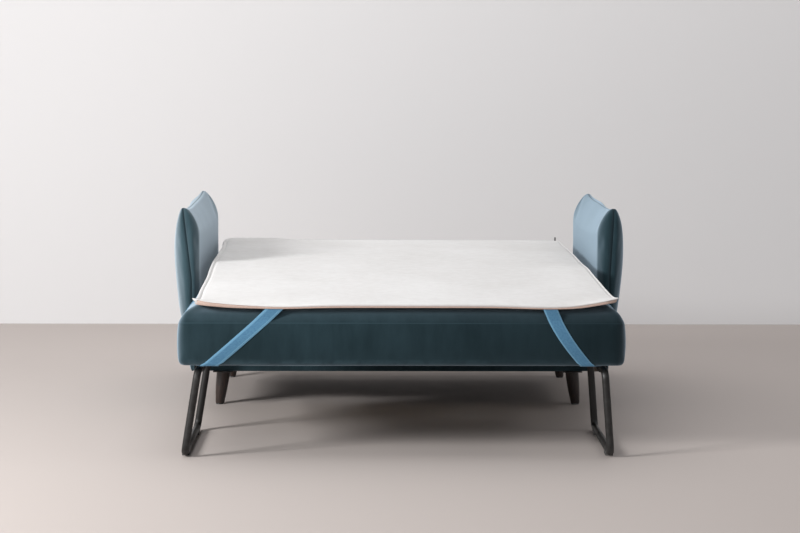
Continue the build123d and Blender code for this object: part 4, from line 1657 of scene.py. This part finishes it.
@dataclass
class Topper:
    """The thin padded mattress cover that lies on the open bed."""

    corner: float = 0.024
    columns: int = 60
    rows: int = 66
    middle_crowd: float = 0.3
    edge_heights: Table = (
        (-0.918, 0.014),
        (-0.80, 0.020),
        (-0.49, 0.032),
        (-0.16, 0.045),
        (0.13, 0.047),
        (0.40, 0.052),
        (0.915, 0.053),
    )
    edge_insets: tuple[float, ...] = (0, 0.003, 0.007, 0.010, 0.013, 0.016, 0.020, 0.027, 0.038)
    droop: Point = (0.007, 0.13, 0.09)
    strap_places: tuple[float, float] = (-0.412, 0.487)
    corner_lifts: tuple[float, float] = (0.011, 0.020)
    corner_reach: tuple[float, float] = (0.22, 0.16)
    curl: Point = (0.008, 0.55, 0.30)
    curl_start_y: float = 0.2
    crease_start: tuple[float, float] = (-0.70, 0.25)
    crease_run: tuple[float, float] = (0.295, 0.616)
    left_edge: Point = (0.010, 0.1, 0.35)
    left_reach: float = 0.10
    puff: tuple[float, float] = (0.003, 0.10)
    soft_waves: tuple[Point, ...] = ((0.0016, 0.30, 2.0), (0.0007, 0.09, 5.0))
    front_crease: tuple[float, float] = (0.0016, 0.017)
    front_crease_x: tuple[float, float] = (-0.30, 0.22)
    front_crease_y: tuple[float, float] = (-0.47, 0.13)
    stitch: Point = (0.0042, 0.0135, 0.0035)
    stitch_shift: Point = (0.0070, 0.30, 0.65)
    narrow: float = 0.990
    sway: tuple[float, float] = (0.026, 0.35)
    ruffle: tuple[float, float] = (0.004, 0.19)
    ruffle_seeds: tuple[float, float] = (9.0, 4.0)
    bulge: Point = (0.012, 0.74, 0.13)
    lips: tuple[float, float] = (-0.021, 0.015)
    lip_lifts: tuple[float, float] = (0.009, 0.003)
    lip_reach: tuple[float, float] = (0.060, 0.05)
    back_room: float = 0.0002
    underside: Point = (0.25, 0.6, 0.03)
    fill: float = 0.35
    band_tops: Table = (
        (-0.688, 0.80),
        (-0.676, 0.12),
        (-0.60, 0.16),
        (-0.48, 0.34),
        (-0.36, 0.58),
        (0.0, 0.66),
        (0.48, 0.66),
        (0.60, 0.46),
        (0.70, 0.36),
    )
    lip_ring_out: float = 0.0026
    band_edge_out: float = 0.0002
    band_rings: Table = ((0.06, -0.0010), (0.16, 0.0016), (0.5, 0.0020), (0.84, 0.0016))

    def __post_init__(self) -> None:
        """Read the topper's space from the frame."""
        self.low, self.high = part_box("topper_pad")
        self.middle = (self.low + self.high) / 2
        self.half = (self.high - self.low) / 2
        self.outline = SoftBlock("plan", self.low, self.high, corner=self.corner)

    def side_gap(self, x: float) -> float:
        """Give the distance from the nearer long side."""
        return self.half.x - abs(x - self.middle.x)

    def crease_x(self, y: float) -> float:
        """Give where the soft crease before the rear left corner lies at a depth."""
        (start_x, start_y), (run_x, run_y) = self.crease_start, self.crease_run
        return start_x + run_x * (y - start_y) / run_y

    def lift(self, x: float, y: float) -> float:
        """Find how far the edge strip is raised at the corners or pulled down by the straps.

        Args:
            x: The sideways place.
            y: The depth.

        Returns:
            The rise.
        """
        front_gap = y - self.low.y
        drop, width, depth = self.droop
        pulled = sum(bump(place, width, x) for place in self.strap_places)
        drooped = drop * pulled * near(front_gap, depth) ** 1.5
        front = near(front_gap, self.corner_reach[0]) ** 1.5
        corner = self.corner_lifts[x >= 0]
        raised = corner * near(self.side_gap(x), self.corner_reach[1]) ** 1.4 * front
        rise, full, scale = self.curl
        beyond = (self.crease_x(y) - x) / scale if y > self.curl_start_y else 0.0
        height, centre, length = self.left_edge
        left = height * bump(centre, length, y) * near(x - self.low.x, self.left_reach) ** 1.3
        return raised - drooped + rise * ease(0.0, full, beyond) + left

    def top_z(self, x: float, y: float, inset: float) -> float:
        """Find the height of the upper cloth.

        Args:
            x: The sideways place.
            y: The depth.
            inset: The distance from the nearest edge.

        Returns:
            The height.
        """
        rim = looked_up(self.edge_heights, y)
        full, reach = self.puff
        flat = (x, y, 0.0)
        soft = sum(depth * ripple(flat, pitch, seed) for depth, pitch, seed in self.soft_waves)
        depth, pitch = self.front_crease
        crease = depth * bump(*self.front_crease_x, x) * bump(*self.front_crease_y, y)
        crease *= math.sin((y + 0.1 * x) / pitch)
        dip, stitch_inset, width = self.stitch
        shift, start, end = self.stitch_shift
        stitch = dip * bump(stitch_inset - shift * ease(start, end, x), width, inset)
        puffed = (full + soft + crease) * ease(0.0, reach, inset)
        return self.low.z + rim + puffed - stitch + self.lift(x, y)

    def plan(self, x: float, y: float, inset: float) -> tuple[float, float]:
        """Round the plan's corners and draw its long sides in between them.

        Args:
            x: The sideways place on a sharp rectangle.
            y: The depth on a sharp rectangle.
            inset: The distance from the nearest edge.

        Returns:
            The place in the plan.
        """
        flat_x, flat_y = self.outline.rounded(x - self.middle.x, y - self.middle.y, inset)
        share = (y - self.low.y) / (self.high.y - self.low.y)
        amount, centre = self.sway
        depth, pitch = self.ruffle
        seed = self.ruffle_seeds[x > 0]
        sway = amount * (centre - share) + depth * ripple((0.0, y, 0.0), pitch, seed)
        bulge, bulge_y, length = self.bulge
        left = max(0.0, (self.middle.x - x) / self.half.x) ** 3
        sway -= bulge * left * bump(bulge_y, length, y)
        return self.middle.x + flat_x * self.narrow + sway, self.middle.y + flat_y

    def corner_lip(self, x: float, y: float) -> tuple[float, float]:
        """Find how far the upper cloth juts sideways and up at a front corner.

        Args:
            x: The sideways place.
            y: The depth.

        Returns:
            The two distances.
        """
        depth, width = self.lip_reach
        reach = near(y - self.low.y, depth) * near(self.side_gap(x), width)
        return self.lips[x >= 0] * reach, self.lip_lifts[x >= 0] * reach

    def edge_rings(self, x: float) -> list[tuple[float, float]]:
        """List the edge's rings below the upper rim: how far down each lies, and how far out.

        Args:
            x: The sideways place.

        Returns:
            The share of the edge's height and the distance of each ring.
        """
        band = looked_up(self.band_tops, x)
        rings = [(band * 0.5, self.lip_ring_out), (band, self.band_edge_out)]
        return rings + [(band + (1 - band) * share, out) for share, out in self.band_rings]

    def places(self, low: float, high: float, count: int) -> list[float]:
        """List grid places from edge to edge, close together over the lips.

        Args:
            low: The first place.
            high: The last place.
            count: How many gaps lie between the lips.

        Returns:
            The places in rising order.
        """
        last = self.edge_insets[-1]
        middle = spaced(low + last, high - last, count, self.middle_crowd)[1:-1]
        far = [high - inset for inset in reversed(self.edge_insets)]
        return [low + inset for inset in self.edge_insets] + middle + far

    def face_points(self, upper: bool, xs: Sequence[float], ys: Sequence[float]) -> list[Point]:
        """Place the points of the upper or the lower cloth.

        Args:
            upper: True for the upper cloth.
            xs: The grid's sideways places.
            ys: The grid's depths.

        Returns:
            The points row by row.
        """
        points = []
        for y in ys:
            for x in xs:
                inset = max(0.0, min(self.side_gap(x), self.half.y - abs(y - self.middle.y)))
                plan_x, plan_y = self.plan(x, y, inset)
                out, up = self.corner_lip(x, y) if upper else (0.0, 0.0)
                height = self.level(upper, plan_x, plan_y, inset)
                points.append((plan_x + out, plan_y, height + up))
        return points

    def edge_place(self, top: Vector, foot: Vector, ring: int) -> Point:
        """Place one point of the edge between the two cloths.

        Args:
            top: The point above it on the upper cloth's rim.
            foot: The point below it on the lower cloth's rim.
            ring: The ring's number.

        Returns:
            The point.
        """
        share, out = self.edge_rings(top.x)[ring]
        away = [(top[axis] - self.middle[axis]) ** 9 / self.half[axis] ** 9 for axis in (0, 1)]
        place = top.lerp(foot, share) + Vector((*away, 0)).normalized() * out
        return place.x, min(place.y, self.high.y + self.back_room), place.z

    def build(self, wardrobe: Wardrobe) -> Piece:
        """Build and dress the topper's pad.

        Args:
            wardrobe: The finishes.

        Returns:
            The pad.
        """
        xs = self.places(self.low.x, self.high.x, self.columns)
        ys = self.places(self.low.y, self.high.y, self.rows)
        half = len(xs) * len(ys)
        points = self.face_points(True, xs, ys) + self.face_points(False, xs, ys)
        upper = [row * len(xs) + column for row, column in rim_places(len(ys), len(xs))]
        lower = [index + half for index in upper]
        ends = [(Vector(points[top]), Vector(points[foot])) for top, foot in zip(upper, lower)]
        rings = [upper]
        for ring in range(2 + len(self.band_rings)):
            rings.append(list(range(len(points), len(points) + len(upper))))
            points += [self.edge_place(top, foot, ring) for top, foot in ends]
        rings.append(lower)
        faces = grid_faces(len(ys), len(xs)) + grid_faces(len(ys), len(xs), half)
        first_band = len(faces) + 2 * len(upper)
        pad = build_mesh("topper_pad_cloth", points, faces + ring_faces(rings))
        refine(pad)
        wardrobe.fit(
            pad,
            Body.TOPPER,
            "topper_cloth",
            "topper_cloth",
            "topper edge",
            node="topper_pad",
            fill=self.fill,
        )
        for polygon in pad.data.polygons[first_band:]:
            polygon.material_index = 1
        return pad

    def level(self, upper: bool, x: float, y: float, inset: float) -> float:
        """Find the height of the upper or the lower cloth at a place.

        Args:
            upper: True for the upper cloth.
            x: The sideways place.
            y: The depth.
            inset: The distance from the nearest edge.

        Returns:
            The height.
        """
        if upper:
            return self.top_z(x, y, inset)
        lifted = self.lift(x, y)
        raised_reach, share, drooped_reach = self.underside
        followed = near(inset, raised_reach) if lifted > 0 else share * near(inset, drooped_reach)
        return self.low.z + lifted * followed


@dataclass
class Strap:
    """A woven elastic strap that runs down the front, under the corner and up the side."""

    side: Side
    top_x: float
    foot_x: float
    curve: float = 0.0
    cover: str = "seat_cover_cloth"
    width: float = 0.040
    thickness: float = 0.0015
    clearance: float = 0.0006
    side_front: float = 0.106
    side_rear: float = 0.330
    foot_rise: float = 0.013
    foot_inset: float = 0.010
    turn: tuple[tuple[float, ...], ...] = ((0.0030, 0.0040, 0.9, 0.4), (0.0052, 0.0015, 0.5, 0.85))
    anchor_inset: float = 0.011
    anchor_rise: float = 0.004
    anchor_tilt: float = 0.15
    anchor_steps: int = 4
    front_steps: int = 16
    under_steps: int = 6
    side_steps: int = 14
    over_deg: tuple[int, ...] = (14, 28, 42, 55, 66)
    cast: float = 0.03
    squashed: float = 0.12

    def build(self, wardrobe: Wardrobe) -> Piece:
        """Build and dress the strap, which lies on the seat's cover.

        Args:
            wardrobe: The finishes.

        Returns:
            The strap.
        """
        node = f"strap_{self.side.label}"
        self.low, self.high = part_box(node)
        self.front_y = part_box("seat_cover")[0].y
        self.side_x = max(abs(self.low.x), abs(self.high.x))
        self.rise = self.high.z - self.low.z
        self.wall_z = self.low.z + self.foot_rise, self.high.z - BOX_EDGE
        self.slope = (self.foot_x - self.top_x) / self.rise
        self.side_slope = (self.side_rear - self.side_front) / self.rise
        front_half = self.side.value * self.width / 2 * math.sqrt(1 + self.slope**2)
        self.front_across = Vector((front_half, 0, 0))
        self.side_across = Vector((0, -self.width / 2 * math.sqrt(1 + self.side_slope**2), 0))
        cover = bpy.data.objects[self.cover]
        self.ground = BVHTree.FromObject(cover, bpy.context.evaluated_depsgraph_get())
        rungs = self.front_rungs() + self.under_rungs() + self.side_rungs()
        strap = ribbon(f"{node}_band", rungs, self.thickness, self.ground, self.clearance)
        wardrobe.fit(strap, Body.TOPPER, "strap_elastic", node=node)
        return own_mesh(strap)

    def lay(self, place: Vector, outward: Vector) -> Vector:
        """Move a place onto the cover along its outward direction.

        Args:
            place: The place.
            outward: The way out of the cover.

        Returns:
            The place on the cover, or the same place where there is none.
        """
        hit = self.ground.ray_cast(place + outward * self.cast, -outward, 2 * self.cast)[0]
        return place if hit is None else hit + outward * (self.clearance + self.thickness / 2)

    def front_rungs(self) -> list[Rung]:
        """List the rungs down the front, from under the topper's edge to the foot.

        Returns:
            The rungs.
        """
        foot_z, top_z = self.wall_z
        outward = Vector((0, -1, 0))
        rungs = []
        for step in range(self.front_steps + 1):
            z = top_z + (foot_z - top_z) * step / self.front_steps
            down = self.high.z - z
            bend = self.curve * math.sin(math.pi * (down / self.rise))
            x = self.side.value * (self.top_x + self.slope * down + bend)
            place = self.lay(Vector((x, self.low.y, z)), outward)
            rungs.append(Rung(place, self.front_across, outward))
        first, tilted = rungs[0].place, Vector((0, -1, self.anchor_tilt))
        anchor_y, anchor_z = self.front_y + self.anchor_inset, self.high.z + self.anchor_rise
        anchor = Vector((self.side.value * self.top_x, anchor_y, anchor_z))
        above = [anchor.lerp(first, step / self.anchor_steps) for step in range(self.anchor_steps)]
        return [Rung(place, self.front_across, tilted) for place in above] + rungs

    def under_rungs(self) -> list[Rung]:
        """List the rungs round the foot, under the corner and up to the side's foot.

        Returns:
            The rungs.
        """
        sign, foot_z = self.side.value, self.low.z + self.thickness / 2
        side_y = self.front_y + self.side_front
        front_turn = [
            Rung(
                Vector((sign * self.foot_x, self.front_y + inset, foot_z + lift)),
                self.front_across,
                Vector((0, -level, -down)).normalized(),
            )
            for inset, lift, level, down in self.turn
        ]
        side_turn = [
            Rung(
                Vector((sign * (self.side_x - inset), side_y, foot_z + lift)),
                self.side_across,
                Vector((sign * level, 0, -down)).normalized(),
            )
            for inset, lift, level, down in reversed(self.turn)
        ]
        start = Vector((sign * self.foot_x, self.front_y + self.foot_inset, foot_z))
        end = Vector((sign * (self.side_x - self.foot_inset), side_y, foot_z))
        shares = [step / self.under_steps for step in range(self.under_steps + 1)]
        under = [
            Rung(
                start.lerp(end, share),
                self.front_across.lerp(self.side_across, share),
                Vector((0, 0, -1)),
            )
            for share in shares
        ]
        return front_turn + under + side_turn

    def side_rungs(self) -> list[Rung]:
        """List the rungs up the side and over the box's upper edge.

        Returns:
            The rungs.
        """
        sign, (foot_z, top_z) = self.side.value, self.wall_z
        outward = Vector((sign, 0, 0))
        rungs = []
        for step in range(self.side_steps + 1):
            z = foot_z + (top_z - foot_z) * step / self.side_steps
            y = self.front_y + self.side_front + self.side_slope * (z - self.low.z)
            place = self.lay(Vector((sign * self.side_x, y, z)), outward)
            rungs.append(Rung(place, self.side_across, outward))
        last = rungs[-1].place
        for angle in self.over_deg:
            turn = math.radians(angle)
            away = Vector((sign * math.cos(turn), 0, math.sin(turn)))
            y = last.y + self.side_slope * BOX_EDGE * turn
            core = Vector((last.x - sign * BOX_EDGE, y, top_z))
            rungs.append(Rung(self.lay(core + away * BOX_EDGE, away), self.side_across, away))
        return rungs


@dataclass
class ZipTape:
    """The zip along the topper's rear edge: two woven tapes with a coil between them."""

    gap: float = 0.0009
    thickness: float = 0.0006
    tape_depth: float = 0.0006
    tape_inset: float = 0.001
    tape_rungs: int = 110
    coil_depth: float = 0.00085
    coil_inset: float = 0.003
    coil_radii: tuple[float, float] = (0.0002, 0.0015)
    wire: float = 0.00025
    pitch: float = 0.0026
    turn_steps: int = 6

    def build(self, wardrobe: Wardrobe) -> Piece:
        """Build and dress the tapes and the coil.

        Args:
            wardrobe: The finishes.

        Returns:
            The tapes.
        """
        self.low, self.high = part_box("zip_tape")
        middle = (self.low.z + self.high.z) / 2
        halves = [
            self.build_tape("lower", self.low.z, middle - self.gap),
            self.build_tape("upper", middle + self.gap, self.high.z),
        ]
        tapes = join(halves, "zip_woven_tapes")
        wardrobe.fit(tapes, Body.TOPPER, "zip_cloth", node="zip_tape")
        wardrobe.fit(self.build_coil(middle), Body.TOPPER, "zip_cloth", "zip coil")
        return tapes

    def build_tape(self, name: str, foot: float, head: float) -> Piece:
        """Build one flat tape between two heights.

        Args:
            name: Which of the tapes it is.
            foot: The height of its lower edge.
            head: The height of its upper edge.

        Returns:
            The tape.
        """
        across, outward = Vector((0, 0, (head - foot) / 2)), Vector((0, 1, 0))
        start, end = self.low.x + self.tape_inset, self.high.x - self.tape_inset
        rungs = [
            Rung(Vector((x, self.low.y + self.tape_depth, (foot + head) / 2)), across, outward)
            for x in np.linspace(start, end, self.tape_rungs)
        ]
        return ribbon(f"zip_{name}_tape", rungs, self.thickness)

    def build_coil(self, middle: float) -> Piece:
        """Wind the coil of the zip along the gap between the tapes.

        Args:
            middle: The height of the gap.

        Returns:
            The coil.
        """
        length = self.high.x - self.low.x - 2 * self.coil_inset
        steps = int(length / self.pitch) * self.turn_steps
        deep, tall = self.coil_radii
        points: list[Point] = []
        for step in range(steps + 1):
            angle = 2 * math.pi * step / self.turn_steps
            x = self.low.x + self.coil_inset + length * step / steps
            y = self.low.y + self.coil_depth + deep * math.cos(angle)
            z = middle + tall * math.sin(angle)
            for right, back in ((-1, 0), (0, -1), (1, 0), (0, 1)):
                points.append((x + right * self.wire, y + back * self.wire, z))
        rings = [range(start, start + 4) for start in range(0, len(points), 4)]
        return build_mesh("zip_coil", points, ring_faces(rings))


# Metal, wood and what is inside


@dataclass
class HardParts:
    """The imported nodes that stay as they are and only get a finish."""

    record: dict

    def dress(self, wardrobe: Wardrobe) -> None:
        """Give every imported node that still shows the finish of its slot.

        Args:
            wardrobe: The finishes.
        """
        for row in self.record["subparts"]:
            node = bpy.data.objects.get(row["node"])
            if node is not None and not node.hide_render:
                wardrobe.wear(node, row["material_slot"])


@dataclass
class FoamBlock:
    """One foam block, a little uneven underneath."""

    node: str
    body: Body
    corner: float = 0.012
    edge: float = 0.016
    crown: float = 0.002
    hem: float = 0.004
    columns: int = 24
    rows: int = 12
    wall_levels: int = 5
    foot_band: float = 0.002
    unevenness: Point = (0.001, 0.05, 4.0)
    fill: float = 0.95

    def build(self, wardrobe: Wardrobe) -> Piece:
        """Build and dress the block.

        Args:
            wardrobe: The finishes.

        Returns:
            The foam block.
        """
        low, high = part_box(self.node)
        foam = SoftBlock(
            f"{self.node}_block",
            low,
            high,
            corner=self.corner,
            edge=self.edge,
            crown=self.crown,
            bow=0.0,
            hem=self.hem,
            columns=self.columns,
            rows=self.rows,
            wall_levels=self.wall_levels,
            closed=True,
        ).build()
        depth, pitch, seed = self.unevenness
        for vertex in foam.data.vertices:
            if vertex.co.z < low.z + self.foot_band:
                vertex.co.z += depth * ripple(vertex.co, pitch, seed)
        return wardrobe.fit(foam, self.body, "foam", node=self.node, fill=self.fill)


@dataclass
class Belts:
    """The elastic belts under the seat foam."""

    count: int = 10
    width: float = 0.068
    sag: float = 0.005
    steps: int = 12

    def build(self, wardrobe: Wardrobe) -> Piece:
        """Build and dress the belts.

        Args:
            wardrobe: The finishes.

        Returns:
            The belts as one piece.
        """
        low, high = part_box("seat_webbing")
        pitch = (high.x - low.x - self.width) / (self.count - 1)
        across, upward = Vector((self.width / 2, 0, 0)), Vector((0, 0, 1))
        shares = [step / self.steps for step in range(self.steps + 1)]
        ys = [low.y + (high.y - low.y) * share for share in shares]
        zs = [(low.z + high.z) / 2 - self.sag * math.sin(math.pi * share) for share in shares]
        belts = []
        for index in range(self.count):
            x = low.x + self.width / 2 + pitch * index
            rungs = [Rung(Vector((x, y, z)), across, upward) for y, z in zip(ys, zs)]
            belts.append(ribbon(f"belt_{index}", rungs, high.z - low.z))
        joined = join(belts, "seat_belts")
        return wardrobe.fit(joined, Body.SEAT, "webbing", node="seat_webbing")


@dataclass
class Lining:
    """One dust lining, stapled flat at its edges."""

    node: str
    body: Body
    rests: tuple[str, ...]
    sag: float = 0.0
    thickness: float = 0.0006
    columns: int = 36
    rows: int = 20
    crowd: float = 0.2
    unevenness: Point = (0.25, 0.12, 7.0)

    def build(self, wardrobe: Wardrobe) -> Piece:
        """Build and dress the lining.

        Args:
            wardrobe: The finishes.

        Returns:
            The lining.
        """
        low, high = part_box(self.node)
        width, length = high.x - low.x, high.y - low.y
        share, pitch, seed = self.unevenness
        xs = spaced(low.x, high.x, self.columns, self.crowd)
        ys = spaced(low.y, high.y, self.rows, self.crowd)
        points = []
        for y in ys:
            for x in xs:
                hang = math.sin(math.pi * (x - low.x) / width)
                hang *= math.sin(math.pi * (y - low.y) / length)
                uneven = share * self.sag * ripple((x, y, 0.0), pitch, seed) * hang
                points.append((x, y, low.z + self.thickness - self.sag * hang + uneven))
        cloth = build_mesh(f"{self.node}_cloth", points, grid_faces(len(ys), len(xs)))
        cloth.modifiers.new("cloth", "SOLIDIFY").thickness = self.thickness
        return wardrobe.fit(cloth, self.body, "lining_cloth", node=self.node)


# Studio


@dataclass(frozen=True)
class Lamp:
    """One soft rectangular lamp."""

    name: str
    place: Point
    aim: Point
    size: tuple[float, float]
    power: float

    def hang(self) -> None:
        """Put the lamp in the scene."""
        light = bpy.data.lights.new(self.name, "AREA")
        light.shape = "RECTANGLE"
        light.size, light.size_y = self.size
        light.energy = self.power
        lamp = bpy.data.objects.new(self.name, light)
        lamp.visible_camera = False
        lamp.location = self.place
        way = Vector(self.aim) - Vector(self.place)
        lamp.rotation_euler = way.to_track_quat("-Z", "Y").to_euler()
        bpy.context.scene.collection.objects.link(lamp)


@dataclass(frozen=True)
class Studio:
    """The floor, wall, lamps and camera."""

    camera_place: Point = (-0.0933, -7.2602, 1.3271)
    focal_length: float = 87.3
    sensor_width: float = 36.0
    look_down_deg: float = 6.157
    look_right_deg: float = 0.78
    roll_deg: float = 0.185
    reach: float = 14.0
    wall_y: float = 2.358
    wall_height: float = 7.0
    floor_tone: Colour = (0.50, 0.448, 0.420)
    wall_tone: Colour = (0.72, 0.71, 0.71)
    world_tint: Colour = (0.95, 0.96, 1.0)
    world_light: float = 0.35
    world_seen: float = 0.72
    lamps: tuple[Lamp, ...] = (
        Lamp("key", (-4.2, -2.9, 2.3), (0.0, 0.1, 0.4), (1.2, 1.2), 260),
        Lamp("fill", (-1.6, -6.5, 3.4), (0.0, 0.0, 0.4), (4.0, 3.0), 66),
        Lamp("top", (-0.8, 0.4, 4.6), (-0.5, 0.4, 0.0), (5.0, 5.0), 84),
        Lamp("wall wash", (4.6, -0.6, 3.4), (2.2, 2.358, 1.4), (2.0, 1.0), 26),
    )

    def plain(self, name: str, tone: Colour) -> bpy.types.Material:
        """Make a plain matt material for the surroundings, clear when seen from behind.

        Args:
            name: Its name.
            tone: Its colour.

        Returns:
            The material.
        """
        material = bpy.data.materials.new(name)
        material.use_nodes = True
        wiring, nodes = Wiring(material.node_tree), material.node_tree.nodes
        shader = nodes["Principled BSDF"]
        wiring.feed(shader, Base_Color=(*tone, 1.0), Roughness=0.75, Specular_IOR_Level=0.2)
        behind = wiring.add("ShaderNodeNewGeometry").outputs["Backfacing"]
        clear = wiring.add("ShaderNodeBsdfTransparent").outputs[0]
        choice = wiring.feed(wiring.add("ShaderNodeMixShader"), behind, shader.outputs[0], clear)
        wiring.feed(nodes["Material Output"], Surface=choice.outputs[0])
        return material

    def plane(self, name: str, corners: Sequence[Point], tone: Colour) -> None:
        """Make one flat face of the surroundings.

        Args:
            name: Its name.
            corners: Its corners in order.
            tone: Its colour.
        """
        mesh = bpy.data.meshes.new(name)
        mesh.from_pydata(corners, [], [tuple(range(len(corners)))])
        mesh.materials.append(self.plain(name, tone))
        piece = bpy.data.objects.new(name, mesh)
        bpy.context.scene.collection.objects.link(piece)

    def build(self) -> None:
        """Build the floor, the wall, the lamps, the world and the camera."""
        sides, wall_y = ((-1, -1), (1, -1), (1, 1), (-1, 1)), self.wall_y
        floor = [(x * self.reach, y * self.reach, 0) for x, y in sides]
        wall = [(x * self.reach, wall_y, max(0, up) * self.wall_height) for x, up in sides]
        self.plane("floor", floor, self.floor_tone)
        self.plane("wall", wall, self.wall_tone)
        for lamp in self.lamps:
            lamp.hang()
        world = bpy.data.worlds.new("studio")
        world.use_nodes = True
        wiring = Wiring(world.node_tree)
        seen = wiring.add("ShaderNodeLightPath").outputs["Is Camera Ray"]
        strength = wiring.spread(seen, 0.0, 1.0, self.world_light, self.world_seen)
        background = world.node_tree.nodes["Background"]
        wiring.feed(background, Color=(*self.world_tint, 1.0), Strength=strength)
        bpy.context.scene.world = world
        self.place_camera()

    def place_camera(self) -> None:
        """Put the camera where the photograph was taken from."""
        view = bpy.data.cameras.new("camera")
        view.sensor_width = self.sensor_width
        view.lens = self.focal_length
        camera = bpy.data.objects.new("camera", view)
        camera.location = self.camera_place
        turn = Matrix.Rotation(math.radians(-self.look_right_deg), 3, "Z")
        tilt = Matrix.Rotation(math.radians(90 - self.look_down_deg), 3, "X")
        roll = Matrix.Rotation(math.radians(self.roll_deg), 3, "Z")
        camera.rotation_euler = (turn @ tilt @ roll).to_euler()
        bpy.context.scene.collection.objects.link(camera)
        bpy.context.scene.camera = camera
        bpy.context.scene.view_settings.view_transform = "Standard"


def main() -> None:
    """Load the frame, build the studio and every piece around it, and dress the imported parts that
    still show.
    """
    logging.basicConfig(level=logging.INFO, format="%(name)s: %(message)s")
    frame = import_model()
    Studio().build()
    wardrobe, swelling = Wardrobe(), Swelling()
    stuffed = (
        Arm(Side.LEFT, LEFT_SEAM),
        Arm(Side.RIGHT, RIGHT_SEAM, rear_drop=0.009, outer_end_x=0.838, seed=8.0),
        Upholstery("seat_cover", Body.SEAT, "seat velvet", 0.456, hem=0.028),
        Upholstery("back_panel_cover", Body.BACK_PANEL, "velvet", 0.470, seed=11.0),
        Upholstery("rear_panel_cover", Body.REAR_PANEL, "velvet", 0.470, seed=17.0),
    )
    for maker in stuffed:
        LOG.info("built %s", maker.build(wardrobe, swelling).name)
    others = (
        Topper(),
        Strap(Side.LEFT, 0.412, 0.6345),
        Strap(Side.RIGHT, 0.487, 0.614, curve=-0.012),
        ZipTape(),
        FoamBlock("seat_foam", Body.SEAT),
        FoamBlock("back_panel_foam", Body.BACK_PANEL),
        FoamBlock("rear_panel_foam", Body.REAR_PANEL),
        Belts(),
        Lining("seat_lining", Body.SEAT, ("seat_rail_front", "seat_rail_rear")),
        Lining("base_lining", Body.BASE, ("front_rail", "middle_rail"), sag=0.004),
    )
    for maker in others:
        LOG.info("built %s", maker.build(wardrobe).name)
    HardParts(frame["record"]).dress(wardrobe)


if __name__ == "__main__":
    main()
